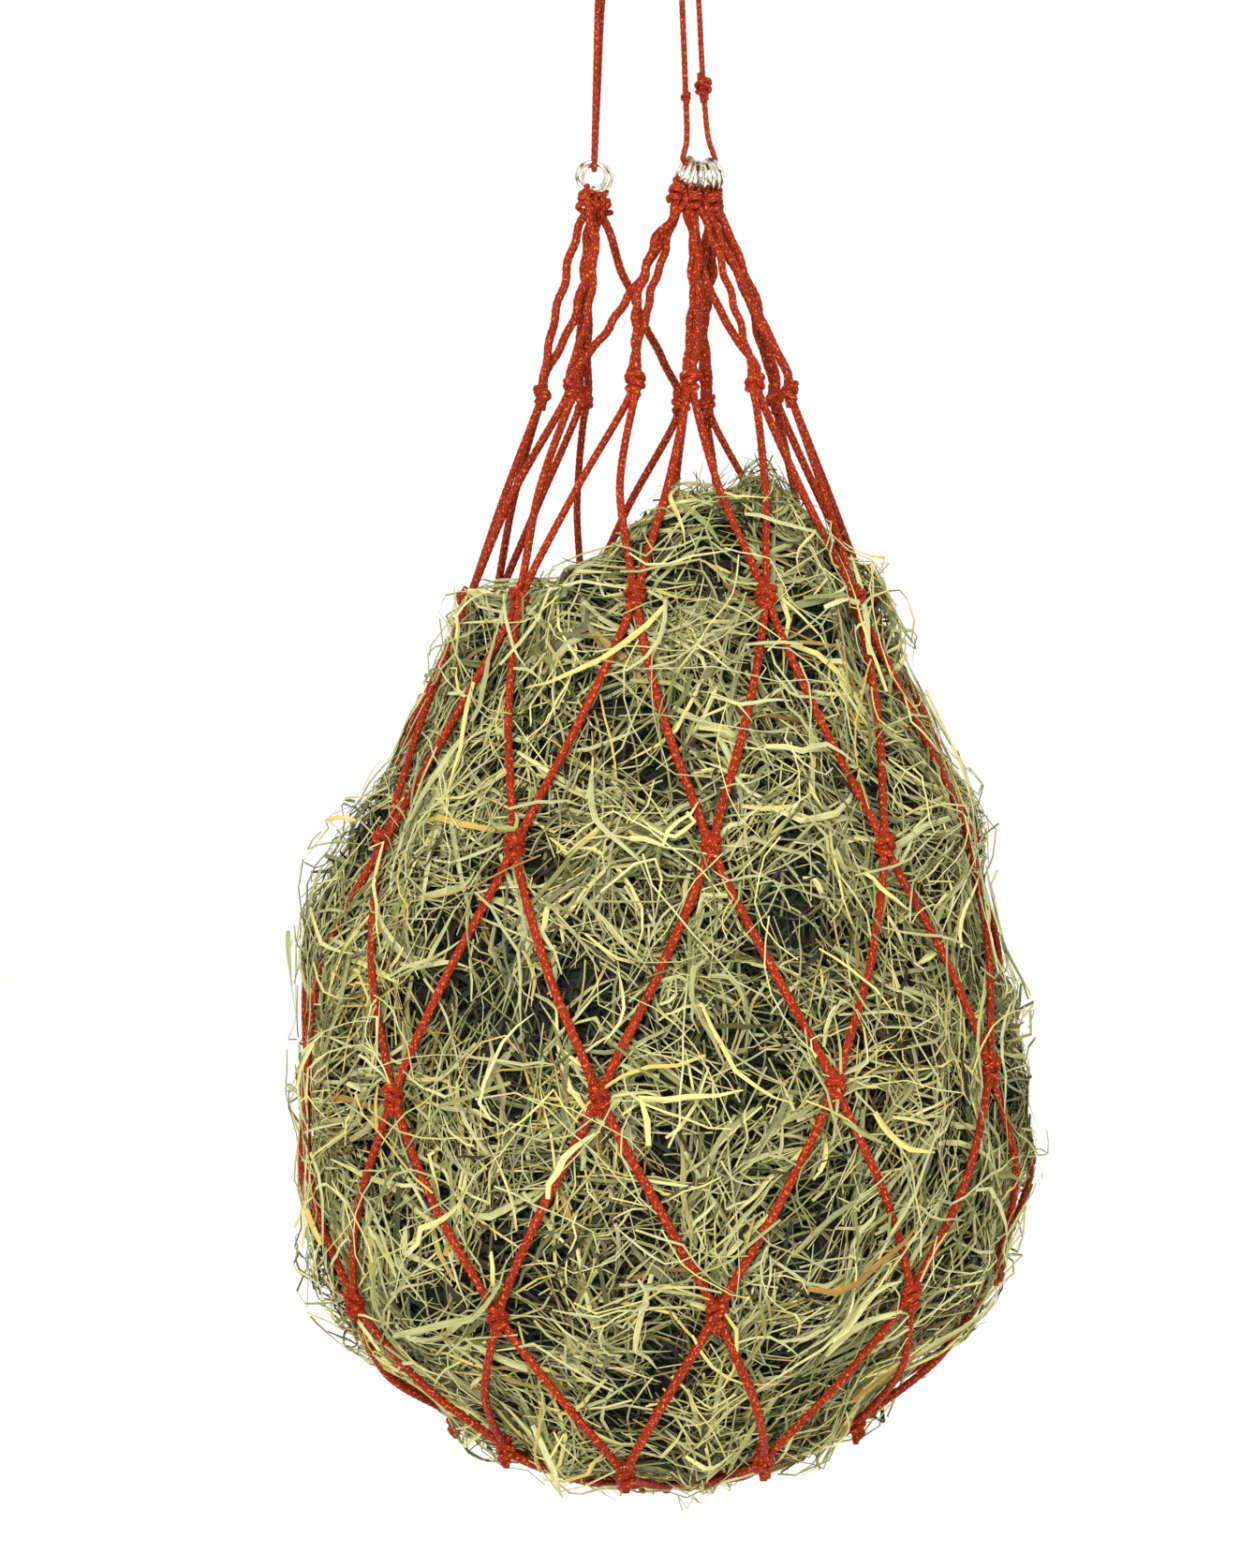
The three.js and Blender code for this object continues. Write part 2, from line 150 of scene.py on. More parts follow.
def curve_through(points, shares):
    """Centripetal Catmull-Rom curve: on each gap a cubic from one point to the next. The slope at a
    point comes from the gaps on its two sides, each timed by the square root of its length."""
    points = np.asarray(points, float)
    padded = np.concatenate([[2 * points[0] - points[1]], points, [2 * points[-1] - points[-2]]])
    at = np.clip(shares, 0, 1) * (len(points) - 1)
    gap = np.minimum(at.astype(int), len(points) - 2)
    t = (at - gap)[..., None]
    p0, p1, p2, p3 = (padded[gap + i] for i in range(4))
    d0, d1, d2 = (
        np.sqrt(np.linalg.norm(b - a, axis=-1, keepdims=True)) for a, b in ((p0, p1), (p1, p2), (p2, p3))
    )
    slope1 = ((p1 - p0) / d0 - (p2 - p0) / (d0 + d1) + (p2 - p1) / d1) * d1
    slope2 = ((p2 - p1) / d1 - (p3 - p1) / (d1 + d2) + (p3 - p2) / d2) * d1
    from_start = (2 * t**3 - 3 * t**2 + 1) * p1 + (t**3 - 2 * t**2 + t) * slope1
    return from_start + (3 * t**2 - 2 * t**3) * p2 + (t**3 - t**2) * slope2


def lengths_along(path):
    """Distance of each station from the first, along the path."""
    steps = np.linalg.norm(np.diff(path, axis=-2), axis=-1)
    return np.concatenate([np.zeros(steps.shape[:-1] + (1,)), np.cumsum(steps, axis=-1)], axis=-1)


def even_path(points, stations):
    """The curve through the points, with stations at even distances along it."""
    fine = curve_through(points, np.linspace(0, 1, 40 * len(points)))
    along = lengths_along(fine)
    wanted = np.linspace(0, along[-1], stations)
    return np.stack([np.interp(wanted, along, fine[:, k]) for k in range(3)], axis=-1)


def around(angle):
    """Outward and sideways unit vectors at an angle round the bag."""
    turn = np.radians(angle)
    zero = np.zeros_like(turn)
    out = np.stack([np.sin(turn), -np.cos(turn), zero], axis=-1)
    return out, np.stack([np.cos(turn), np.sin(turn), zero], axis=-1)


def profile(row):
    """The bag's radius and height at a row, and the unit slope of that profile."""
    share = (np.asarray(row, float) - 1) / (LAST_ROW - 1)
    step = 1e-4
    slope = unit(curve_through(ROWS, share + step) - curve_through(ROWS, share - step))
    return curve_through(ROWS, share), slope


def lumps(angle, height):
    """Swell of the hay outwards: a sum of bells round the places where the hay is packed fullest."""
    total = 0
    for at_angle, at_height, reach_round, reach_up, swell in LUMPS:
        turned = (angle - at_angle + 180) % 360 - 180
        bell = (turned / reach_round) ** 2 + ((height - at_height) / reach_up) ** 2
        total = total + swell * np.exp(-bell)
    return total


def on_bag(row, angle, inset=0, side=0, fullness=1):
    """A point at radius(row) outwards, side sideways and height(row) up, sunk by inset along the
    profile's normal and swollen by the lumps."""
    at, slope = profile(row)
    swollen = np.asarray(inset) - fullness * lumps(np.asarray(angle), at[..., 1])
    radius = at[..., 0] + slope[..., 1] * swollen
    height = at[..., 1] - slope[..., 0] * swollen
    out, along = around(angle)
    return radius[..., None] * out + np.asarray(side)[..., None] * along + height[..., None] * UP


def settle(points):
    """How the bag hangs: bell-shaped pushes along X, lower rows that rise towards +X, and a bottom
    that curves up to both sides."""
    x = points[..., 0].copy()
    z = points[..., 2].copy()
    for centre, reach, push in PUSHES:
        x += push * np.exp(-(((points - centre) / reach) ** 2).sum(axis=-1))
    z += TILT_SLOPE * points[..., 0] * smoothstep(-points[..., 2], TILT_FROM, TILT_TO)
    low = smoothstep(-points[..., 2], BOTTOM_FROM, BOTTOM_TO)
    z += BOTTOM_RISE * low * smoothstep(np.abs(points[..., 0]), SIDE_FROM, SIDE_TO)
    return np.stack([x, points[..., 1], z], axis=-1)


# ---- tubes ----


def tangents(path, closed=False):
    """Unit steps from the station before to the station after."""
    if closed:
        return unit(np.roll(path, -1, axis=-2) - np.roll(path, 1, axis=-2))
    return unit(np.gradient(path, axis=-2))


def leaning_frames(path, out, closed=False):
    """Side and out of each station, where out leans as near to the wanted way as the path lets it."""
    tangent = tangents(path, closed)
    side = unit(np.cross(tangent, out))
    return side, np.cross(side, tangent)


def twistless_frames(path, out):
    """Side and out of each station: each out is the last one's, less its part along the tangent."""
    tangent = tangents(path)
    outs = np.empty_like(path)
    for i in range(path.shape[-2]):
        along = tangent[..., i, :]
        out = unit(out - along * (out * along).sum(axis=-1, keepdims=True))
        outs[..., i, :] = out
    return np.cross(tangent, outs), outs


def braid(turn, along, pitch):
    """Height of a braid's surface from -1 to 1: two sets of strands wind opposite ways, three of
    each, and cross in the pattern cos(3 turn + run) cos(3 turn - run), where run is a full turn a pitch."""
    run = 2 * np.pi * along / pitch
    return np.cos(3 * turn + run) * np.cos(3 * turn - run)


BRAID_PITCH = 11.0
BRAID_SIDES = 12
BRAID_RELIEF = 0.095


def braided_tube(path, frames, width, depth=None, start=0.0, closed=False):
    """A braided cord along the path: an ellipse of width and depth in each station's frame, its
    radius raised and lowered by the braid. Width may change along the path."""
    side, out = frames
    depth = width if depth is None else depth
    along = lengths_along(path) + np.asarray(start)[..., None]
    turn = 2 * np.pi * np.arange(BRAID_SIDES) / BRAID_SIDES
    relief = 1 + BRAID_RELIEF * braid(turn, along[..., None], BRAID_PITCH)
    across = (relief * np.cos(turn))[..., None] * side[..., None, :]
    outwards = (relief * np.sin(turn))[..., None] * out[..., None, :]
    half_width = np.asarray(width)[..., None, None] / 2
    half_depth = np.asarray(depth)[..., None, None] / 2
    points = path[..., None, :] + half_width * across + half_depth * outwards
    return tube_mesh(points, along, closed)


def tube_mesh(points, along, closed=False):
    """Points, faces and pattern map of tubes given as a grid [tube, station, side]: quads between
    neighbouring stations, and a flat cap on each open end."""
    if points.ndim == 3:
        points, along = points[None], along[None]
    tubes, stations, sides = points.shape[:3]
    i = np.arange(stations if closed else stations - 1)[:, None]
    j = np.arange(sides)[None, :]
    ring, next_ring, next_j = i * sides, (i + 1) % stations * sides, (j + 1) % sides
    quads = np.stack([ring + j, next_ring + j, next_ring + next_j, ring + next_j], axis=-1).reshape(-1, 4)
    if closed:
        last_step = along[:, -1:] + along[:, 1:2] - along[:, :1]
        along = np.concatenate([along, last_step], axis=1)
    far = np.stack([i + 0 * j, i + 1 + 0 * j, i + 1 + 0 * j, i + 0 * j], axis=-1).reshape(-1, 4)
    near = np.stack([j + 0 * i, j + 0 * i, j + 1 + 0 * i, j + 1 + 0 * i], axis=-1).reshape(-1, 4) / sides
    quad_map = np.stack([np.broadcast_to(near, (tubes,) + near.shape), along[:, far]], axis=-1)
    first = np.arange(tubes)[:, None, None] * stations * sides
    groups = [(quads[None] + first).reshape(-1, 4)]
    maps = [quad_map.reshape(-1, 2)]
    if not closed:
        start = np.arange(sides)[None, None, :]
        end = (stations - 1) * sides + start[..., ::-1]
        groups.append(np.concatenate([start + first, end + first]).reshape(-1, sides))
        ends = np.concatenate([along[:, 0], along[:, -1]]).repeat(sides)
        maps.append(np.stack([np.full_like(ends, 0.5), ends], axis=-1))
    return points.reshape(-1, 3), groups, np.concatenate(maps)


def joined(*meshes):
    """Several tube meshes as one: their faces keep their order, four-sided ones first."""
    offsets = np.cumsum([0] + [len(points) for points, _, _ in meshes])
    groups, maps = [], []
    for (points, faces, pattern), offset in zip(meshes, offsets):
        groups += [group + offset for group in faces]
        maps.append(pattern)
    return np.concatenate([points for points, _, _ in meshes]), groups, np.concatenate(maps)


def make_piece(name, mesh_data, material, body, sharp=None, values=None):
    """Turns points in millimetres, face groups and a pattern map into a piece that rides on a body."""
    points, groups, pattern = mesh_data
    mesh = bpy.data.meshes.new(name)
    mesh.vertices.add(len(points))
    mesh.vertices.foreach_set("co", (points * MM).astype(np.float32).ravel())
    corners = np.concatenate([group.ravel() for group in groups])
    sizes = np.concatenate([np.full(len(group), group.shape[1]) for group in groups])
    mesh.loops.add(len(corners))
    mesh.loops.foreach_set("vertex_index", corners.astype(np.int32))
    mesh.polygons.add(len(sizes))
    mesh.polygons.foreach_set("loop_start", (np.cumsum(sizes) - sizes).astype(np.int32))
    mesh.update(calc_edges=True)
    mesh.polygons.foreach_set("use_smooth", np.ones(len(sizes), bool))
    if pattern is not None:
        mesh.uv_layers.new(name=PATTERN).data.foreach_set("uv", pattern.astype(np.float32).ravel())
    for key, numbers in (values or {}).items():
        mesh.attributes.new(key, "FLOAT", "POINT").data.foreach_set("value", numbers.astype(np.float32))
    if sharp is not None:
        mesh.set_sharp_from_angle(angle=math.radians(sharp))
    mesh.materials.append(material)
    piece = bpy.data.objects.new(name, mesh)
    bpy.context.scene.collection.objects.link(piece)
    if body:
        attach(piece, body)
    return piece


# ---- materials ----


def srgb(colour):
    """A hex colour as linear red, green, blue and 1: below 0.04045 by a line, above by a power."""
    parts = np.array([int(colour[i : i + 2], 16) for i in (1, 3, 5)]) / 255
    linear = np.where(parts <= 0.04045, parts / 12.92, ((parts + 0.055) / 1.055) ** 2.4)
    return (*linear, 1.0)


def add_node(tree, kind, inputs=None, **settings):
    """Adds a node with its settings; each input is linked if given a socket, and set otherwise."""
    made = tree.nodes.new(kind)
    for key, value in settings.items():
        setattr(made, key, value)
    for key, value in (inputs or {}).items():
        if isinstance(value, bpy.types.NodeSocket):
            tree.links.new(value, made.inputs[key])
        else:
            made.inputs[key].default_value = value
    return made


def new_material(name):
    """An empty material with its output, its node tree and its Principled shader."""
    material = bpy.data.materials.new(name)
    material.use_nodes = True
    tree = material.node_tree
    return material, tree, tree.nodes["Principled BSDF"]


def colour_stops(tree, factor, stops):
    ramp = add_node(tree, "ShaderNodeValToRGB", {0: factor})
    while len(ramp.color_ramp.elements) < len(stops):
        ramp.color_ramp.elements.new(0.5)
    for element, (place, colour) in zip(ramp.color_ramp.elements, stops):
        element.position = place
        element.color = srgb(colour)
    return ramp.outputs[0]


def mix_colours(tree, factor, first, second, blend="MIX"):
    inputs = {0: factor, 6: first, 7: second}
    return add_node(tree, "ShaderNodeMix", inputs, data_type="RGBA", blend_type=blend).outputs[2]


def noise(tree, place, scale, detail):
    """A noise texture's value: its features are about 1 / scale across, in the units of place."""
    inputs = {"Vector": place, "Scale": scale, "Detail": detail}
    return add_node(tree, "ShaderNodeTexNoise", inputs).outputs[0]


def bumped(tree, height, strength, distance):
    inputs = {"Strength": strength, "Distance": distance, "Height": height}
    return add_node(tree, "ShaderNodeBump", inputs).outputs[0]


def finish_shader(tree, shader, colour, normal):
    tree.links.new(colour, shader.inputs["Base Color"])
    tree.links.new(normal, shader.inputs["Normal"])


def math_node(tree, operation, first, second=0.0):
    return add_node(tree, "ShaderNodeMath", {0: first, 1: second}, operation=operation).outputs[0]


def pattern_at(tree, round_scale, along_scale):
    """The pattern map of a tube, scaled: repeats round it, and repeats in a millimetre along it."""
    uv = add_node(tree, "ShaderNodeUVMap", uv_map=PATTERN)
    inputs = {0: uv.outputs[0], 1: (round_scale, along_scale, 1)}
    return add_node(tree, "ShaderNodeVectorMath", inputs, operation="MULTIPLY").outputs[0]


def nickel_plated_steel():
    """Welded steel wire, bright nickel plated: near white and mirror-like, with faint handling marks."""
    material, tree, shader = new_material("nickel_plated_steel")
    place = add_node(tree, "ShaderNodeTexCoord").outputs["Object"]
    stains = noise(tree, place, 120, 2)
    scratches = noise(tree, place, 1400, 2)
    colour = colour_stops(tree, stains, [(0.45, "#e6e2d2"), (0.58, "#c2bda4"), (0.7, "#5f5a40")])
    rough = add_node(tree, "ShaderNodeMapRange", {0: stains, 3: 0.08, 4: 0.24})
    tree.links.new(rough.outputs[0], shader.inputs["Roughness"])
    finish_shader(tree, shader, colour, bumped(tree, scratches, 0.08, 0.0002))
    shader.inputs["Metallic"].default_value = 1.0
    return material


def braided_polypropylene():
    """Braided polypropylene cord, dyed orange-red: a soft plastic shine on each strand, painted shade as
    dark lines where strands tuck under, and painted highlights as small pale glints where single
    filaments catch the light."""
    material, tree, shader = new_material("braided_polypropylene")
    place = add_node(tree, "ShaderNodeTexCoord").outputs["Object"]
    turns = pattern_at(tree, 6 * math.pi, 2 * math.pi / BRAID_PITCH)
    turn, run, _ = add_node(tree, "ShaderNodeSeparateXYZ", {0: turns}).outputs
    wind = math_node(tree, "COSINE", math_node(tree, "ADD", turn, run))
    unwind = math_node(tree, "COSINE", math_node(tree, "SUBTRACT", turn, run))
    crossing = math_node(tree, "MULTIPLY", wind, unwind)
    height = math_node(tree, "ABSOLUTE", crossing)
    dye = noise(tree, place, 22, 3)
    red = colour_stops(tree, dye, [(0.3, "#7c1f0a"), (0.5, "#88240c"), (0.7, "#942b11")])
    # painted shade: the red is darkened towards deep red-brown where strands tuck under one another
    painted_tuck_shade = math_node(tree, "MULTIPLY", math_node(tree, "SUBTRACT", 1.0, height), 0.5)
    shaded = mix_colours(tree, painted_tuck_shade, red, srgb("#521606"))
    # painted highlights: filament glints, about 0.7 mm wide and 3 mm long
    painted_glint_noise = noise(tree, pattern_at(tree, 13, 0.36), 1, 1)
    painted_glint = add_node(tree, "ShaderNodeMapRange", {0: painted_glint_noise, 1: 0.57, 2: 0.68, 3: 0, 4: 0.85})
    colour = mix_colours(tree, painted_glint.outputs[0], shaded, srgb("#dc6a3c"))
    filaments = noise(tree, pattern_at(tree, 40, 0.5), 1, 2)
    relief = math_node(tree, "ADD", height, math_node(tree, "MULTIPLY", filaments, 0.5))
    finish_shader(tree, shader, colour, bumped(tree, relief, 0.55, 0.0006))
    shader.inputs["Roughness"].default_value = 0.55
    shader.inputs["Specular IOR Level"].default_value = 0.08
    shader.inputs["IOR"].default_value = 1.49
    return material


def dried_grass():
    """Meadow hay, sun dried: flat matt leaves and stems, grey green to straw, each with its own
    tint, fine veins along it, and painted shade that makes it darker the deeper it lies."""
    material, tree, shader = new_material("dried_grass")
    tint = add_node(tree, "ShaderNodeAttribute", attribute_name="tint").outputs["Fac"]
    depth = add_node(tree, "ShaderNodeAttribute", attribute_name="depth").outputs["Fac"]
    stops = [
        (0.0, "#4a4019"), (0.07, "#525724"), (0.18, "#75793c"), (0.31, "#95955b"), (0.45, "#b0af79"),
        (0.6, "#c5c28b"), (0.74, "#d0c984"), (0.85, "#d7c876"), (0.93, "#cdb158"), (0.98, "#9f7936"),
        (1.0, "#715328"),
    ]
    own = colour_stops(tree, tint, stops)
    veins = noise(tree, pattern_at(tree, 9, 0.05), 1, 2)
    vein = add_node(tree, "ShaderNodeMapRange", {0: veins, 1: 0.35, 2: 0.7, 3: 0.62, 4: 1.08})
    veined = mix_colours(tree, 1.0, own, vein.outputs[0], "MULTIPLY")
    # painted shade: a blade is painted nearer to near black the deeper it lies under the others
    shade = add_node(tree, "ShaderNodeMapRange", {0: depth, 1: 0.0, 2: 0.31, 3: 0.0, 4: 0.98})
    colour = mix_colours(tree, shade.outputs[0], veined, srgb("#16160a"))
    finish_shader(tree, shader, colour, bumped(tree, veins, 0.3, 0.0003))
    shader.inputs["Roughness"].default_value = 0.72
    shader.inputs["Specular IOR Level"].default_value = 0.3
    return material


def shadow_painted_hay():
    """Painted shade for the hay packed deep inside, where little light comes: painted nearly black, with dim
    olive streaks.
    """
    material, tree, shader = new_material("shadow_painted_hay")
    place = add_node(tree, "ShaderNodeTexCoord").outputs["Object"]
    stretched = add_node(tree, "ShaderNodeMapping", {"Vector": place, "Scale": (1.0, 1.0, 3.2)})
    streaks = noise(tree, stretched.outputs[0], 90, 4)
    colour = colour_stops(tree, streaks, [(0.4, "#0f0f08"), (0.6, "#1e1e10"), (0.75, "#3e3f24")])
    finish_shader(tree, shader, colour, bumped(tree, streaks, 0.8, 0.004))
    shader.inputs["Roughness"].default_value = 0.95
    return material


STEEL = nickel_plated_steel()
CORD = braided_polypropylene()
HAY = dried_grass()
SHADOW_PAINTED_HAY = shadow_painted_hay()


# ---- the D ring ----


D_CORNER = 8
D_STATIONS, D_SIDES = 240, 20
WELD_AT, WELD_WIDE, WELD_HIGH = 30, 1.6, 0.07


def hanging_ring():
    """Round wire bent to a D: a straight bar with round corners under a half-ellipse bow."""
    low, high = (np.array(corner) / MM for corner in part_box("hanging_d_ring"))
    wire = high[1] - low[1]
    half_width = (high[0] - low[0] - wire) / 2
    bar, top = low[2] + wire / 2, high[2] - wire / 2
    turns = np.radians([0, 30, 60, 90])
    bend_x = half_width - D_CORNER + D_CORNER * np.sin(turns)
    bends = np.stack([bend_x, bar + D_CORNER * (1 - np.cos(turns))], -1)
    climb = np.radians(np.arange(30, 91, 10))
    bow = np.stack([half_width * np.cos(climb), bar + (top - bar) * np.sin(climb)], -1)
    right = np.concatenate([[(0, bar)], bends, bow])
    left = (right[1:-1] * (-1, 1))[::-1]
    loop = np.concatenate([right, left])
    # the closed curve, as the middle third of three laps
    laps = np.concatenate([loop, loop, loop, loop[:1]])
    share = (1 + np.arange(D_STATIONS) / D_STATIONS) * len(loop) / (len(laps) - 1)
    flat = curve_through(laps, share)
    path = np.stack([flat[:, 0], np.zeros(D_STATIONS), flat[:, 1]], axis=-1)
    side, out = leaning_frames(path, np.array([0.0, 1.0, 0.0]), closed=True)
    turn = 2 * np.pi * np.arange(D_SIDES) / D_SIDES
    bell = np.exp(-(((path[:, 0] - WELD_AT) / WELD_WIDE) ** 2))
    weld = 1 + WELD_HIGH * bell * (path[:, 2] < bar + 1)
    section = np.cos(turn)[:, None] * side[:, None] + np.sin(turn)[:, None] * out[:, None]
    points = path[:, None] + wire / 2 * weld[:, None, None] * section
    mesh = tube_mesh(points, lengths_along(path), True)
    piece = make_piece("d_ring", mesh, STEEL, "hanger")
    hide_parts("hanging_d_ring")
    return bar, wire


BAR_HEIGHT, D_WIRE = hanging_ring()


# ---- the ten rings on the draw cord ----


def ring_seat(angle, at, yaw, lean, swing):
    """Where a ring hangs: yaw turns its normal from +X, lean tips it, and swing turns it in its plane."""
    yaw, lean, swing = np.radians([yaw, lean, swing])
    level = np.array([np.cos(yaw), np.sin(yaw), 0])
    normal = level * np.cos(lean) + UP * np.sin(lean)
    down = level * np.sin(lean) - UP * np.cos(lean)
    across = np.cross(normal, down)
    return {"angle": angle, "at": at, "normal": normal, "down": down * np.cos(swing) + across * np.sin(swing)}


RIGHT_BEND = {"centre": (27, 0, -219.5), "radius": 19, "step": 12, "rings": 7, "heading": 28}
LEFT_BEND = {"centre": (-51.5, 0, -220), "radius": 24, "step": 11, "rings": 3, "heading": -90}


def on_bend(bend, place):
    """A point of the draw cord's bend: a circle's low arc along the bend's heading."""
    turn = np.radians(place * bend["step"])
    heading = np.radians(bend["heading"])
    along = np.array([np.cos(heading), np.sin(heading), 0])
    radius = bend["radius"]
    return np.array(bend["centre"]) + along * radius * np.sin(turn) + UP * radius * (1 - np.cos(turn))


def bend_seats(bend, first_angle, yaw_step, lean_step, swings):
    places = np.arange(bend["rings"]) - (bend["rings"] - 1) / 2
    return [
        ring_seat(first_angle + i * MESH_TURN, on_bend(bend, place), bend["heading"] + place * yaw_step,
                  place * lean_step, swings[i])
        for i, place in enumerate(places)
    ]


SEATS = bend_seats(RIGHT_BEND, -46, 2, 8.5, [-14, 4, -14, 2, -12, 4, 24])
SEATS += bend_seats(LEFT_BEND, 206, 0, 9, [16, 0, -16])


RING_STATIONS, RING_SIDES = 72, 16
RING_WELD_WIDE, RING_WELD_HIGH = 0.07, 0.08


def steel_ring(number, seat):
    """A torus of round wire, welded shut at a place where the wire is a little thicker."""
    centre = seat["at"] + seat["down"] * RING_DROP
    across = np.cross(seat["down"], seat["normal"])
    turn = 2 * np.pi * np.arange(RING_STATIONS) / RING_STATIONS
    spoke = np.cos(turn)[:, None] * seat["down"] + np.sin(turn)[:, None] * across
    path = centre + RING_RADIUS * spoke
    side, out = leaning_frames(path, seat["normal"][None], closed=True)
    weld_at = 1.1 + number
    apart = (turn - weld_at + np.pi) % (2 * np.pi) - np.pi
    wire = RING_WIRE / 2 * (1 + RING_WELD_HIGH * np.exp(-((apart / RING_WELD_WIDE) ** 2)))
    section = 2 * np.pi * np.arange(RING_SIDES) / RING_SIDES
    points = path[:, None] + wire[:, None, None] * (
        np.cos(section)[:, None] * side[:, None] + np.sin(section)[:, None] * out[:, None]
    )
    mesh = tube_mesh(points, lengths_along(path), True)
    piece = make_piece(f"ring_{number}_wire", mesh, STEEL, f"ring_{number}")
    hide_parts(f"steel_ring_{number}")


for number, seat in enumerate(SEATS, 1):
    steel_ring(number, seat)


# ---- knots ----

# one cord's way through a tight netting knot: across, outwards and up, for a cord of about 5 mm
KNOT_ROUTE = np.array([
    (-2.9, -0.5, 11.0), (-3.6, 2.2, 6.0), (-0.6, 4.9, 1.8), (4.2, 3.6, -1.6), (5.2, -1.4, -3.4),
    (0.2, -4.6, -1.6), (-5.2, -1.8, 0.8), (-4.6, 3.4, 3.2), (0.0, 5.4, 5.2), (4.6, 3.2, 4.8),
    (5.2, -1.6, 2.2), (0.8, -4.6, -1.2), (-4.8, -1.8, -4.2), (-3.9, 3.2, -5.6), (0.6, 4.2, -6.6),
    (2.7, 0.2, -11.0),
])
KNOT_STATIONS = 84
# the doubled cord inside a knot: its top and bottom, and how thick it is along it
CORE_TOP, CORE_BOTTOM = 9, -14
CORE_STATIONS = 14
CORE_AT, CORE_THICK = [0, 0.2, 0.6, 1], [1.1, 1.8, 1.8, 1.0]
CORE_FLAT = 0.75


def knots(centres, outs, size, cord, mirror, turns):
    """Knots at centres, facing outs: the route in each knot's own frame, scaled by size, mirrored
    where mirror is -1, and turned about Z by turns degrees."""
    route = even_path(KNOT_ROUTE, KNOT_STATIONS)
    turn = np.radians(np.asarray(turns, float))[:, None]
    outs = unit(outs * (1, 1, 0))
    across = np.cross(UP, outs)
    out = outs * np.cos(turn) + across * np.sin(turn)
    across = np.cross(UP, out)
    local = route[None] * np.asarray(size, float).reshape(len(centres), -1, 1)[:, 0, None]
    x = local[..., 0] * np.asarray(mirror, float)[:, None]
    paths = centres[:, None] + x[..., None] * across[:, None] + local[..., 1:2] * out[:, None]
    paths = paths + local[..., 2:3] * UP
    start = 13.7 * np.arange(len(centres))
    wound = braided_tube(paths, twistless_frames(paths, out), cord, start=start)
    rise = np.linspace(CORE_TOP, CORE_BOTTOM, CORE_STATIONS)[None, :, None]
    rise = rise * np.asarray(size, float).reshape(-1, 1, 1)
    thick = cord * np.interp(np.linspace(0, 1, CORE_STATIONS), CORE_AT, CORE_THICK)
    strands = np.broadcast_to(centres[:, None], (len(centres), CORE_STATIONS, 3)) + rise * UP
    frames = leaning_frames(strands, out[:, None])
    core = braided_tube(strands, frames, thick, CORE_FLAT * thick, start=start)
    return joined(wound, core)


# ---- the draw cord ----

WRAP = (D_WIRE + DRAW_CORD) / 2 + 1
DRAW_STATIONS = 1200


def round_bar(from_x, to_x, from_turn, to_turn, steps):
    """Points of a helix round the D ring's bar; turn 0 is above it and 90 behind it."""
    share = np.linspace(0, 1, steps + 1)
    turn = np.radians(from_turn + (to_turn - from_turn) * share)
    return np.stack(
        [from_x + (to_x - from_x) * share, WRAP * np.sin(turn), BAR_HEIGHT + WRAP * np.cos(turn)], axis=-1
    ).tolist()


def through_bend(bend):
    half = (bend["rings"] - 1) / 2 + 0.8
    return [on_bend(bend, place).tolist() for place in np.linspace(-half, half, 7)]


DRAW_ROUTE = [
    (24, -2.6, -65),
    *round_bar(24, 25, -90, 90, 4),
    (25, 2.8, -62), (25, 1, -74), (26.6, 1.5, -94), (30, 3, -155), (34, 6, -196),
    *through_bend(RIGHT_BEND)[::-1],
    (17.5, -5.6, -200), (16.6, -5.6, -160), (14, -6, -94), (12.4, -6, -62),
    *round_bar(12, -40.5, -90, 450, 12),
    (-41.5, 6.8, -62), (-45.5, 7, -94), (-48.5, 7.8, -155), (-50.8, 9.4, -203),
    *through_bend(LEFT_BEND),
    (-51.2, -9.4, -203), (-50.2, -7, -155), (-48.8, -3.5, -94), (-48, -1, -74), (-48, -2.8, -62),
    *round_bar(-48, -49, -90, 90, 4),
    (-49, 2.6, -65),
]


def draw_cord():
    """The one cord that all ten rings run on, tied at both ends over the D ring's bar."""
    path = even_path(DRAW_ROUTE, DRAW_STATIONS)
    mesh = braided_tube(path, twistless_frames(path, np.array([1.0, 0.0, 0.0])), DRAW_CORD)
    piece = make_piece("draw_cord_braid", mesh, CORD, "net")
    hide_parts("draw_cord")
    centres = np.array([(24.5, 0, -64), (-48.5, 0, -64), (30.0, 2.6, -158), (16.7, -5.7, -167)], float)
    names = ["right_tie_knot", "left_tie_knot", "stopper_knot", "small_knot"]
    sizes = [0.95, 0.95, 0.86, 0.5]
    cords = [3.9, 3.9, 3.9, 2.8]
    for centre, name, size, cord, turn in zip(centres, names, sizes, cords, [20, -35, 15, 60]):
        front = np.array([[0.0, -1.0, 0.0]])
        mesh = knots(centre[None], front, [size], cord, [1], [turn])
        make_piece(name, mesh, CORD, "net")


draw_cord()


# ---- top loops ----

LOOP_TOP = -247
LOOP_END = ROWS[0][1] + KNOT_HIGH + 1
LOOP_TUCK = 6  # how far each leg runs on into its knot
LEVELS = 6
SPREAD_ROUNDS, SMOOTHED_ROUNDS = 160, 5
LOOP_STATIONS = 300
LOOP_WAVES = 2.6
WAVELENGTHS = (27, 58)
BIGHT_CORD = 3.5  # a loop is pulled thin where it bends over its ring's wire
BIGHT_FROM, BIGHT_TO = 2, 16
LEG_SPACE = 4.6
CROSSING = 3
FUNNEL = 1.6
FOOT = RING_DROP + RING_RADIUS
LOOP_SIDE = 3.3
LOOP_OVER = FOOT - LOOP_SIDE


# how far each loop's two legs hang out to +X of their straight way, from a lack of tension
LEG_SLACK = [
    (-5, -22), (-8, 5), (5, 10), (-6, 12), (8, 15), (9, -4), (-8, 6), (4, -6), (-6, 5), (-9, 9),
]


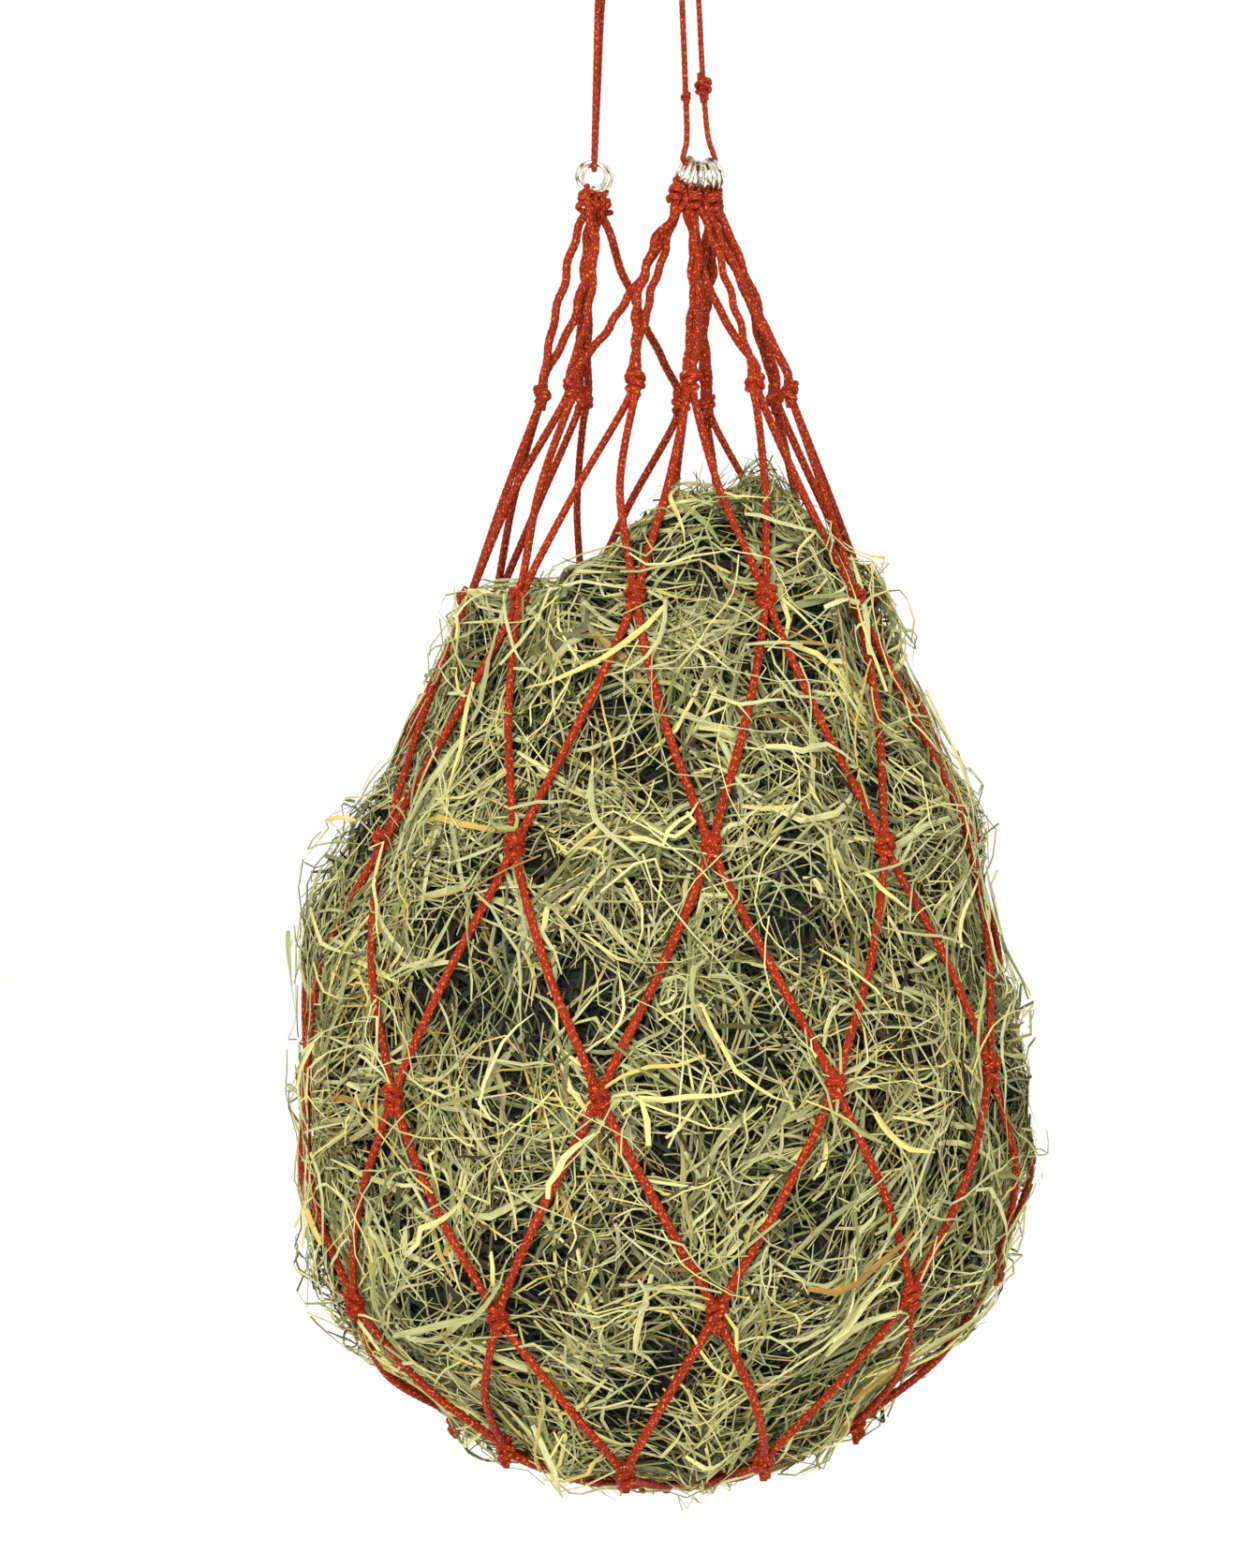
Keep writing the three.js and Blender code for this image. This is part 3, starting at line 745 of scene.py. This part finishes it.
def loop_legs():
    """Each loop's two feet beside its ring's wire, and its two ends at the knots next to it."""
    feet = np.empty((MESHES, 2, 3))
    ends = np.empty((MESHES, 2, 3))
    for i, seat in enumerate(SEATS):
        angles = seat["angle"] + np.array([-HALF_TURN, HALF_TURN])
        knots_at = settle(on_bag(np.ones(2), angles, fullness=0))
        ahead = np.dot((knots_at[1] - knots_at[0]) * (1, 1, 0), seat["normal"]) > 0
        foot = seat["at"] + seat["down"] * FOOT
        sign = -1 if ahead else 1
        feet[i] = [foot + sign * LOOP_SIDE * seat["normal"], foot - sign * LOOP_SIDE * seat["normal"]]
    for i, seat in enumerate(SEATS):
        # the right leg of this loop meets the left leg of the next at their knot
        following = (i + 1) % MESHES
        angle = seat["angle"] + HALF_TURN
        _, along = around(angle)
        ahead = np.dot(feet[i, 1] - feet[following, 0], along) > CROSSING
        sides = np.array([1, -1]) if ahead else np.array([-1, 1])
        both = settle(on_bag(np.ones(2), np.full(2, angle), side=sides * SIDE_STEP, fullness=0))
        ends[i, 1], ends[following, 0] = both
    ends[..., 2] = LOOP_END
    return feet, ends


def spread_legs(levels):
    """Legs closer than LEG_SPACE on a level push each other apart by half of what is short, in rounds;
    in the first rounds each leg is also smoothed by a quarter towards its neighbours' middle."""
    for turn in range(SPREAD_ROUNDS):
        free = levels[:, :LEVELS]
        away = free[None] - free[:, None]
        far = np.linalg.norm(away, axis=-1)
        short = np.clip(LEG_SPACE - far, 0, None)
        short[np.arange(len(levels)), np.arange(len(levels))] = 0
        push = (away / np.maximum(far, 1e-6)[..., None]) * short[..., None] / 2
        free -= 0.6 * push.sum(axis=1)
        if turn < SMOOTHED_ROUNDS:
            middle = (levels[:, :-2] + levels[:, 2:]) / 2
            levels[:, 1:-1, :2] += 0.25 * (middle - levels[:, 1:-1])[..., :2]
    return levels


def wavy(path, draw, size):
    """The path with slight waves to the sides, as in a slack cord: two sines of each way along it."""
    along = lengths_along(path)
    fade = np.sin(np.pi * np.clip(along / along[-1], 0, 0.9999))[:, None] ** 0.5
    for wavelength in WAVELENGTHS:
        sway = np.sin(2 * np.pi * along / (wavelength * draw.uniform(0.8, 1.2)) + draw.uniform(0, 6.3))
        path = path + size / 2 * fade * sway[:, None] * unit(draw.normal(0, 1, 3) * (1, 1, 0))
    return path


def top_loops():
    """Each loop as one slack cord: up a leg, over its ring's wire, and down the other leg."""
    draw = np.random.default_rng(8)
    feet, ends = loop_legs()
    share = np.linspace(0, 1, LEVELS + 1)[:, None]
    start, finish = feet.reshape(-1, 1, 3), ends.reshape(-1, 1, 3)
    levels = start + (finish - start) * share**FUNNEL
    levels[..., 2] = (LOOP_TOP + (LOOP_END - LOOP_TOP) * share)[:, 0]
    slack = np.array(LEG_SLACK, float).reshape(-1, 1)
    levels[..., 0] += slack * np.sin(np.pi * np.clip(share[:, 0] ** 0.8, 0, 0.9999)) ** 0.6
    levels = spread_legs(levels).reshape(MESHES, 2, LEVELS + 1, 3)
    for i, seat in enumerate(SEATS):
        over = seat["at"] + seat["down"] * LOOP_OVER
        left, right = levels[i]
        left_end, right_end = (leg[-1] - LOOP_TUCK * UP for leg in (left, right))
        shoulders = [(foot + over) / 2 + 0.21 * (foot - over - seat["down"] * LOOP_SIDE) for foot in feet[i]]
        over_ring = [feet[i, 0], shoulders[0], over, shoulders[1], feet[i, 1]]
        route = [left_end, *left[::-1], *over_ring, *right, right_end]
        path = wavy(even_path(route, LOOP_STATIONS), draw, LOOP_WAVES)
        beyond = np.abs((path - over) @ seat["down"])
        width = BIGHT_CORD + (LOOP_CORD - BIGHT_CORD) * smoothstep(beyond, BIGHT_FROM, BIGHT_TO)
        mesh = braided_tube(path, twistless_frames(path, np.array([0.0, -1.0, 0.0])), width, start=7.0 * i)
        collar = ring_hitch(seat, feet[i])
        piece = make_piece(f"mouth_loop_{i + 1}", joined(mesh, collar), CORD, None)
        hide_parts(f"top_loop_{i + 1}")
        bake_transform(piece)


HITCH_STATIONS = 130
HITCH_RADIUS, HITCH_CORD = 3.9, 4.4
HITCH_BELOW = 8  # from the loop's feet down to the hitch's middle
HITCH_FROM, HITCH_TO = -6.2, 7.5


def ring_hitch(seat, feet):
    """The hitch that holds a loop to its ring: three turns of a narrowing helix round both legs."""
    turn = np.radians(np.linspace(-100, 980, HITCH_STATIONS))
    middle = feet.mean(axis=0) + seat["down"] * HITCH_BELOW
    across = np.cross(seat["down"], seat["normal"])
    drop = np.linspace(HITCH_FROM, HITCH_TO, HITCH_STATIONS) + 1.4 * np.sin(turn * 0.5)
    radius = HITCH_RADIUS * np.linspace(1, 0.82, HITCH_STATIONS)
    path = (
        middle + (radius * np.cos(turn))[:, None] * seat["normal"]
        + (radius * np.sin(turn))[:, None] * across + drop[:, None] * seat["down"]
    )
    return braided_tube(path, twistless_frames(path, seat["down"]), np.full(HITCH_STATIONS, HITCH_CORD))


top_loops()


# ---- net cords and their knots ----

NET_CORD, BELLY_CORD = 5.6, 0.7  # width of a net cord, and how much wider it is pressed on the belly
BELLY_FROM, BELLY_TO = 420, 760
BELLY_FLAT = 0.16
NET_STATIONS = 760
NET_FULLNESS = 0.6  # the share of the hay's swell that the cords follow
KNOT_CORD = 5.2


def net_cord_route(start_angle, lean):
    """A cord's zigzag down the bag: a point above, in and below each knot, and one halfway between."""
    places = []
    for row in range(1, LAST_ROW + 1):
        far = row % 2 == 0
        angle = start_angle + (lean * HALF_TURN if far else 0)
        inwards = -lean if far else lean

        def bend(share):
            radius = profile(np.array([row + share]))[0][0, 0]
            zigzag = math.radians(abs(share) * HALF_TURN) * radius
            return row + share, angle, inwards * max(SIDE_STEP, zigzag)

        if row > 1:
            places.append(bend(-KNOT_REACH))
        places.append((row, angle, inwards * SIDE_STEP))
        if row < LAST_ROW:
            places += [bend(KNOT_REACH), (row + 0.5, angle + inwards * HALF_TURN / 2, 0)]
    rows, angles, sides = np.array(places).T
    route = on_bag(rows, angles, side=sides, fullness=NET_FULLNESS)
    above_first = route[:1] + (0, 0, KNOT_HIGH)
    return settle(np.concatenate([above_first, route]))


def net_cords():
    """Twenty cords in zigzag, two to each column of knots, pressed flatter on the belly."""
    for i in range(2 * MESHES):
        start_angle = FIRST_KNOT + i // 2 * MESH_TURN
        path = even_path(net_cord_route(start_angle, -1 if i % 2 else 1), NET_STATIONS)
        out = unit(path * (1, 1, 0))
        belly = smoothstep(-path[:, 2], BELLY_FROM, BELLY_TO)
        width = NET_CORD + BELLY_CORD * belly
        depth = width * (1 - BELLY_FLAT * belly)
        mesh = braided_tube(path, leaning_frames(path, out), width, depth, start=5.3 * i)
        piece = make_piece(f"net_braid_{i + 1}", mesh, CORD, "net")
        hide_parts(f"net_cord_{i + 1}")


def net_knots(draw):
    """A row of knots at each row, no two quite alike."""
    for row in range(1, LAST_ROW):
        angles = FIRST_KNOT + MESH_TURN * np.arange(MESHES) + (HALF_TURN if row % 2 == 0 else 0)
        rows = np.full(MESHES, float(row))
        centres = settle(on_bag(rows, angles, inset=-0.5, fullness=NET_FULLNESS))
        outs, _ = around(angles)
        size = draw.uniform(0.86, 0.98, MESHES) * (1 if row == 1 else 1.1)
        mirror = draw.choice([-1, 1], MESHES)
        turns = draw.uniform(-28, 28, MESHES)
        mesh = knots(centres, outs, size, KNOT_CORD, mirror, turns)
        make_piece(f"knots_row_{row}", mesh, CORD, "net")


GATHER_CORD, BIGHT_THICK = 5.0, 4.2
BIGHT_OUT, BIGHT_WIDE, BIGHT_HIGH, BIGHT_SHIFT = 4.5, 7.5, 4.8, 1.3


def gathered_bottom():
    """The bottom bights hang on a gather cord: a braided ring, and ten small loops over it."""
    stations = 120
    turn = 2 * np.pi * np.arange(stations) / stations
    height = ROWS[-1][1]
    path = np.stack([GATHER_RADIUS * np.cos(turn), GATHER_RADIUS * np.sin(turn), height + 0 * turn], -1)
    frames = leaning_frames(path, unit(path * (1, 1, 0)), closed=True)
    ring = braided_tube(path, frames, np.full(stations, GATHER_CORD), closed=True)
    ring = (settle(ring[0]), ring[1], ring[2])
    piece = make_piece("gather_ring", ring, CORD, "net")
    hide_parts("gather_cord")
    angles = FIRST_KNOT + MESH_TURN * np.arange(MESHES)
    lap = np.radians(np.linspace(-200, 200, 40))
    out, along = around(angles)
    centre = GATHER_RADIUS + BIGHT_OUT
    paths = (
        (centre + BIGHT_WIDE * np.cos(lap))[None, :, None] * out[:, None]
        + (BIGHT_SHIFT * lap)[None, :, None] * along[:, None]
        + (height + BIGHT_HIGH * np.sin(lap))[None, :, None] * UP
    )
    paths = settle(paths)
    mesh = braided_tube(paths, twistless_frames(paths, along), BIGHT_THICK, start=3.1 * np.arange(MESHES))
    make_piece("bottom_bights", mesh, CORD, "net")


net_cords()
net_knots(np.random.default_rng(5))
gathered_bottom()


# ---- hay ----

# the uneven top: a low shelf at -X that rises to +X, with a tuft
TOP_LOW, TOP_RISE, TOP_FROM, TOP_TO = -543, 68, -86, 12
TOP_FALL, FALL_FROM, FALL_TO = 62, 92, 132
TUFT, TUFT_AT, TUFT_WIDE = 34, 74, 26
ROW_SPACING = 168  # from one row to the next down the side of the hay's upper part
RIM_REACH = 120  # how far along X the rim is taken to lie when its height is asked for


def hay_top(x, tuft=TUFT):
    """Height of the hay's top: a smooth step up towards +X, a bell for the tuft, and a fall past it."""
    step = TOP_RISE * smoothstep(x, TOP_FROM, TOP_TO) - TOP_FALL * smoothstep(x, FALL_FROM, FALL_TO)
    return TOP_LOW + step + tuft * np.exp(-(((x - TUFT_AT) / TUFT_WIDE) ** 2))


def rim_row(angle):
    height = hay_top(RIM_REACH * np.sin(np.radians(angle)), tuft=0)
    return 1 + (ROWS[0][1] - height) / (ROWS[0][1] - ROWS[1][1])


def mesh_middle(row, angle):
    """0 on a cord and 1 in the middle of a mesh: the product of two waves that are 0 along the two
    sets of cords, to the fourth power."""
    column = (angle - FIRST_KNOT) / HALF_TURN
    first = np.sin(np.pi / 2 * (column - row + 1))
    return (first * np.sin(np.pi / 2 * (column + row - 1))) ** 4


def ripples(draw, count, short, long):
    """A smooth random field, mostly between -1 and 1: a sum of waves of random ways and lengths."""
    ways = draw.uniform(0, 2 * np.pi, count)
    numbers = 2 * np.pi / draw.uniform(short, long, count)
    starts = draw.uniform(0, 2 * np.pi, count)

    def field(points):
        x, y, z = np.moveaxis(points, -1, 0)
        total = 0
        for way, number, start in zip(ways, numbers, starts):
            around_axis = x * np.cos(way * 2.3) + y * np.sin(way * 2.3)
            total = total + np.sin(number * (around_axis * np.cos(way) + z * np.sin(way)) + start)
        return total / np.sqrt(count)

    return field


def hay_side(row, angle, sunk):
    """The hay's side under the net, which swells out through each mesh, sunk by so many millimetres."""
    sag = BOTTOM_SAG * smoothstep(row, 5.6, 6.1) * np.cos(np.radians(angle)) ** 2
    slack = BOTTOM_SLACK * smoothstep(row, 4.9, 5.5) - sag
    return on_bag(row, angle, HAY_INSET - HAY_SWELL * mesh_middle(row, angle) + sunk + slack)


def hay_cap(x, y, sunk):
    """The hay's top surface over the plane: hay_top, falling to the rim as the cube of the distance."""
    far = np.hypot(x, y)
    angle = np.degrees(np.arctan2(x, -y))
    row = rim_row(angle)
    rim, _ = profile(row)
    share = np.clip(far / (rim[..., 0] - HAY_INSET), 0, 1.12)
    height = hay_top(x) + (rim[..., 1] - hay_top(x)) * share**3
    over = np.clip(far - rim[..., 0] + HAY_INSET, 0, None)
    return np.stack([x, y, height - sunk - 1.2 * over], axis=-1)


def hay_skin(row, angle, sunk):
    """The hay's side below its rim, and above it the same distance in over its top; the two blend
    over the first few centimetres, so the rim is round."""
    rim = rim_row(angle)
    past = np.clip(rim - row, 0, None) * ROW_SPACING
    side = hay_side(np.maximum(row, rim), angle, sunk)
    radius = np.clip(np.hypot(side[..., 0], side[..., 1]) - past, 0, None)
    out, _ = around(angle)
    cap = hay_cap(radius * out[..., 0], radius * out[..., 1], sunk)
    share = smoothstep(past, 0, 40)[..., None]
    return side + (cap - side) * share


BLADES = 27000
BLADE_STEPS = 7
SECTORS = 8
LAYERS_DEEP = 30
CRINKLE = 0.13
KEPT, LOOSENESS = 0.56, 0.62  # the share of blades kept, and how much it varies with the gaps
OVER_RIM = 0.26  # how many rows above the rim the side's blades still start
LEAF_SHARE, BROAD_SHARE = 0.56, 0.12
BROAD_WIDE, LEAF_WIDE, STEM_WIDE = (3.8, 6.2), (1.8, 3.8), (0.9, 1.7)
LEAF_LONG, STEM_LONG = (35, 125), (35, 150)
OVER_CORD = -13.5  # how deep a blade that crosses a cord lies: outside it
OVER_SHARE, OUT_SHARE = 0.035, 0.03  # the shares of blades that cross a cord, and that stand out
KINKED, BUNCHED = 0.45, 0.62
TOP_BLADES = 3600
TOP_REACH = 158
TOP_LEAF_WIDE, TOP_STEM_WIDE, TOP_LONG = (2.0, 4.6), (1.0, 1.8), (35, 120)
TOP_DEEP, TOP_UP = 18, (6, 26)
TOP_UP_SHARE, TOP_KINKED = 0.09, 0.3


def blade_lines(draw, length, heading, bend, kink):
    """Each blade's line in its own plane, as a chain of even steps: its heading turns evenly by bend
    along it, and by kink at one step. Gives across and down, from the blade's middle."""
    count = len(length)
    steps = BLADE_STEPS - 1
    middle = (np.arange(steps) + 0.5) / steps - 0.5
    kink_at = draw.uniform(-0.35, 0.35, count)
    ways = heading[:, None] + bend[:, None] * middle + kink[:, None] * (middle > kink_at[:, None])
    ways = ways + draw.normal(0, CRINKLE, ways.shape)
    step = length[:, None] / steps
    across = np.concatenate([np.zeros((count, 1)), np.cumsum(np.cos(ways) * step, axis=1)], axis=1)
    down = np.concatenate([np.zeros((count, 1)), np.cumsum(np.sin(ways) * step, axis=1)], axis=1)
    return across - across[:, 3:4], down - down[:, 3:4]


def blade_mesh(draw, paths, out, width, leaf):
    """Closed blades of three long faces: a flat leaf folded at its midrib, or a thin stem. A leaf
    narrows to a fifth at its tip, a stem by a quarter, and each blade rolls and twists."""
    count = len(paths)
    share = np.linspace(0, 1, BLADE_STEPS)
    side, up = leaning_frames(paths, out[:, None])
    roll = draw.normal(0, 0.45, count)[:, None] + draw.normal(0, 0.7, count)[:, None] * (share - 0.5)
    cos, sin = np.cos(roll)[..., None], np.sin(roll)[..., None]
    side, up = side * cos + up * sin, up * cos - side * sin
    taper = np.where(leaf[:, None], 1 - 0.82 * share**2.5 - 0.35 * (1 - share) ** 4, 1 - 0.25 * share)
    half = (width[:, None] * taper / 2)[..., None]
    ridge = half * np.where(leaf, 0.42, 1.5)[:, None, None]
    points = np.stack([paths + half * side, paths + ridge * up, paths - half * side], axis=2)
    along = lengths_along(paths) + draw.uniform(0, 900, count)[:, None]
    return points, along


def hay_blades():
    """Loose hay over the whole filling: thousands of blades in layers, in bunches that lie roughly
    one way, with gaps between them, some over the cords and some that stand out."""
    draw = np.random.default_rng(11)
    count = BLADES
    crowd = ripples(draw, 14, 38, 120)
    lie = ripples(draw, 6, 120, 420)
    hue = ripples(draw, 8, 90, 300)

    # where: even over the area of the sides, thinned where the hay is loose
    rows = np.linspace(1.15, LAST_ROW, 600)
    at, _ = profile(rows)
    area = np.cumsum(at[:, 0] * np.gradient(lengths_along(at)))
    tries = 2 * count
    row = np.interp(draw.random(tries), area / area[-1], rows)
    angle = draw.uniform(0, 360, tries)
    layer = draw.random(tries) ** 1.5
    loose = crowd(on_bag(row, angle))
    kept = draw.random(tries) < KEPT + LOOSENESS * loose * (1 - layer)
    kept &= row > rim_row(angle) - OVER_RIM
    row, angle, layer, loose = (values[kept][:count] for values in (row, angle, layer, loose))
    count = len(row)
    base = on_bag(row, angle)

    # what: broad leaves, leaves, and thin stems
    pick = draw.random(count)
    leaf = pick < LEAF_SHARE
    broad = pick < BROAD_SHARE
    width = np.where(broad, draw.uniform(*BROAD_WIDE, count), draw.uniform(*LEAF_WIDE, count))
    width = np.where(leaf, width, draw.uniform(*STEM_WIDE, count))
    length = np.where(leaf, draw.uniform(*LEAF_LONG, count), draw.uniform(*STEM_LONG, count))
    bend = draw.normal(0, 0.9, count) + np.where(leaf, 0, draw.normal(0, 0.9, count))
    kink = draw.random(count) < KINKED
    kink = np.where(kink, draw.choice([-1, 1], count) * draw.uniform(0.3, 1.7, count), 0)
    combed = smoothstep(base[:, 0], 40, 160) * smoothstep(-base[:, 2], 930, 1020)
    along_bunch = 1.6 * lie(base) + draw.normal(0, 0.5, count)
    heading = np.where(draw.random(count) < BUNCHED, along_bunch, draw.uniform(0, np.pi, count))
    heading = np.where(draw.random(count) < 0.75 * combed, -0.7 + draw.normal(0, 0.3, count), heading)
    across, down = blade_lines(draw, length, heading, bend, kink)

    # how deep each lies along its length
    share = np.linspace(-0.5, 0.5, BLADE_STEPS)
    sway = draw.uniform(4, 9, count)[:, None] * share + draw.uniform(0, 6.3, count)[:, None]
    sunk = LAYERS_DEEP * layer[:, None] - 2 + 3.0 * np.sin(sway)
    at_side = np.abs((angle + 90) % 180 - 90)
    over_cord = draw.random(count) < OVER_SHARE + 0.1 * smoothstep(row, 4.9, 5.7) * (at_side > 50)
    sunk = np.where(over_cord[:, None], OVER_CORD + 3 * share**2, sunk)
    stands_out = draw.random(count) < OUT_SHARE
    sunk = sunk - np.where(stands_out, draw.uniform(4, 16, count), 0)[:, None] * (share + 0.5) ** 3

    at, _ = profile(row)
    step = 0.01
    per_row = np.linalg.norm(profile(row + step)[0] - profile(row - step)[0], axis=-1) / (2 * step)
    turned = angle[:, None] + np.degrees(across / np.maximum(at[:, :1], 70))
    rows_at = row[:, None] + down / per_row[:, None]
    rows_at = np.minimum(rows_at, LAST_ROW)
    paths = settle(hay_skin(rows_at, turned, sunk))
    _, slope = profile(row)
    around_out, _ = around(angle)
    out = -slope[:, 1:] * around_out + slope[:, :1] * UP

    points, along = blade_mesh(draw, paths, out, width, leaf)
    tint = np.clip(draw.beta(2.3, 2.0, count) + 0.1 * hue(base) + np.where(leaf, 0, 0.03), 0, 1)
    # depth drives the blades' painted shade: deeper blades are painted darker
    depth = np.clip(layer + 0.12 * draw.normal(0, 1, count), 0, 1)
    depth = np.where(over_cord, 0, depth)
    sector = ((angle % 360) // (360 / SECTORS)).astype(int)
    for k in range(SECTORS):
        add_blades(f"hay_wisps_{k + 1}", points, along, tint, depth, sector == k)


def add_blades(name, points, along, tint, depth, chosen):
    """One piece of the chosen blades. A blade squeezed to no length has no frames and is left out."""
    per_blade = BLADE_STEPS * 3
    chosen = chosen & np.isfinite(points).all(axis=(1, 2, 3))
    values = {"tint": tint[chosen].repeat(per_blade), "depth": depth[chosen].repeat(per_blade)}
    mesh = tube_mesh(points[chosen], along[chosen])
    make_piece(name, mesh, HAY, "net", sharp=50, values=values)


def top_blades():
    """Hay on the top of the filling: blades over its uneven surface, some of which stand up."""
    draw = np.random.default_rng(23)
    count = TOP_BLADES
    radius = TOP_REACH * np.sqrt(draw.random(count))
    turn = draw.uniform(0, 2 * np.pi, count)
    x, y = radius * np.cos(turn), radius * np.sin(turn)
    leaf = draw.random(count) < 0.5
    width = np.where(leaf, draw.uniform(*TOP_LEAF_WIDE, count), draw.uniform(*TOP_STEM_WIDE, count))
    length = draw.uniform(*TOP_LONG, count)
    bend = draw.normal(0, 1.0, count)
    kink = np.where(draw.random(count) < TOP_KINKED, draw.normal(0, 0.9, count), 0)
    across, down = blade_lines(draw, length, draw.uniform(0, 2 * np.pi, count), bend, kink)
    share = np.linspace(-0.5, 0.5, BLADE_STEPS)
    layer = draw.random(count)
    sunk = TOP_DEEP * layer[:, None] - 3 + 3 * np.sin(7 * share + draw.uniform(0, 6.3, count)[:, None])
    stands_up = draw.random(count) < TOP_UP_SHARE
    sunk = sunk - np.where(stands_up, draw.uniform(*TOP_UP, count), 0)[:, None] * (share + 0.5) ** 2
    in_tuft = np.exp(-(((x - TUFT_AT) / TUFT_WIDE) ** 2))
    kept = draw.random(count) > 0.75 * in_tuft
    px, py = x[:, None] + across, y[:, None] + down
    reach = profile(rim_row(np.degrees(np.arctan2(px, -py))))[0][..., 0] - 2
    inside = np.minimum(1, reach / np.maximum(np.hypot(px, py), 1)).min(axis=1, keepdims=True)
    paths = settle(hay_cap(px * inside, py * inside, sunk))
    out = np.broadcast_to(UP, (count, 3)) + 0.3 * draw.normal(0, 1, (count, 3))
    points, along = blade_mesh(draw, paths, unit(out), width, leaf)
    tint = np.clip(draw.beta(2.4, 2.0, count) + 0.08 - 0.4 * in_tuft, 0, 1)
    # the top blades' painted shade: deeper ones are painted darker
    add_blades("hay_top_wisps", points, along, tint, 0.6 * layer, kept)


def hay_heart():
    """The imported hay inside: the hay's side, sunk under the blades and rough with ripples, from
    below the top's loose blades down, with a flat-domed top and a flat bottom."""
    draw = np.random.default_rng(3)
    rough = ripples(draw, 16, 14, 50)
    columns, side_rows = 240, 200
    angle = np.linspace(0, 360, columns, endpoint=False)[None, :]
    height = hay_top(RIM_REACH * np.sin(np.radians(angle)), tuft=0) - HEART_DROP
    top_row = 1 + (ROWS[0][1] - height) / (ROWS[0][1] - ROWS[1][1])
    rows = top_row + (LAST_ROW - top_row) * np.linspace(0, 1, side_rows)[:, None]
    side = hay_side(rows, angle + 0 * rows, HEART_SUNK)
    share = np.linspace(0, 1, 20, endpoint=False)[1:, None, None]
    cap = side[:1] * np.concatenate([share, share, np.ones_like(share)], axis=-1)
    grid = np.concatenate([cap, side])
    outwards = unit(grid * (1, 1, 0.3) + (0, 0, 260))
    grid = grid + 3.5 * rough(grid)[..., None] * outwards
    grid[-1, :, 2] = HAY_BOTTOM + 6
    ends = np.array([[0, 0, cap[0, :, 2].mean()], [0, 0, HAY_BOTTOM + 6]])
    rings = grid.shape[0]
    points = settle(np.concatenate([grid.reshape(-1, 3), ends]))
    i = np.arange(rings - 1)[:, None] * columns
    j = np.arange(columns)[None, :]
    next_j = (j + 1) % columns
    quads = np.stack([i + j, i + columns + j, i + columns + next_j, i + next_j], axis=-1).reshape(-1, 4)
    j, next_j = j[0], next_j[0]
    peak, base = np.full(columns, rings * columns), np.full(columns, rings * columns + 1)
    last = (rings - 1) * columns
    fans = np.concatenate([np.stack([peak, j, next_j], -1), np.stack([base, last + next_j, last + j], -1)])
    # the hay heart's colour is painted shade: a near black sheet that stands in for the shadow deep between
    # the blades
    piece = make_piece("hay_heart", (points, [quads, fans], None), SHADOW_PAINTED_HAY, "net")
    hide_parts("hay_fill")


hay_heart()
hay_blades()
top_blades()


# ---- room, light and camera ----

KEY_AT, KEY_SIZE, KEY_POWER = (-0.5, -2.75, 0.1), 0.9, 76
FILL_AT, FILL_SIZE, FILL_POWER = (2.4, -1.8, 0.2), 1.6, 14
LIT_AT = (0, 0, -0.8)
FLOOR_HALF, FLOOR_BELOW = 30.0, 0.35
VIEW_HEIGHT = -0.6794
VIEW_SIDE = -0.0266
VIEW_AWAY = 3.0
LENS = 92.17
SENSOR = 36


def room():
    """A plain pale floor well below the hanging net."""
    low, _ = CAD_BOX
    size = FLOOR_HALF
    mesh = bpy.data.meshes.new("floor")
    height = low[2] - FLOOR_BELOW
    corners = [(-size, -size, height), (size, -size, height), (size, size, height), (-size, size, height)]
    mesh.from_pydata(corners, [], [(0, 1, 2, 3)])
    material, tree, shader = new_material("matt_paint")
    place = add_node(tree, "ShaderNodeTexCoord").outputs["Object"]
    colour = colour_stops(tree, noise(tree, place, 3, 2), [(0.3, "#f4f4f2"), (0.7, "#f7f7f5")])
    tree.links.new(colour, shader.inputs["Base Color"])
    shader.inputs["Roughness"].default_value = 0.9
    shader.inputs["Emission Color"].default_value = srgb("#ffffff")
    shader.inputs["Emission Strength"].default_value = 0.09
    mesh.materials.append(material)
    floor = bpy.data.objects.new("floor", mesh)
    bpy.context.scene.collection.objects.link(floor)


def soft_box(name, place, target, size, power):
    light = bpy.data.lights.new(name, "AREA")
    light.shape = "SQUARE"
    light.size = size
    light.energy = power
    lamp = bpy.data.objects.new(name, light)
    bpy.context.scene.collection.objects.link(lamp)
    lamp.location = place
    away = np.array(target, float) - place
    yaw = math.atan2(away[0], -away[1])
    lamp.rotation_euler = (math.atan2(math.hypot(away[0], away[1]), -away[2]), 0, yaw + math.pi)


def lights():
    world = bpy.data.worlds.new("studio")
    world.use_nodes = True
    background = world.node_tree.nodes["Background"]
    background.inputs[0].default_value = srgb("#ffffff")
    background.inputs[1].default_value = 1.0
    bpy.context.scene.world = world
    soft_box("key", KEY_AT, LIT_AT, KEY_SIZE, KEY_POWER)
    soft_box("fill", FILL_AT, LIT_AT, FILL_SIZE, FILL_POWER)
    bpy.context.scene.view_settings.view_transform = "Standard"


def camera():
    lens = bpy.data.cameras.new("camera")
    lens.sensor_width = SENSOR
    lens.lens = LENS
    eye = bpy.data.objects.new("camera", lens)
    bpy.context.scene.collection.objects.link(eye)
    eye.location = (VIEW_SIDE, -VIEW_AWAY, VIEW_HEIGHT)
    eye.rotation_euler = (math.pi / 2, 0, 0)
    bpy.context.scene.camera = eye


room()
lights()
camera()
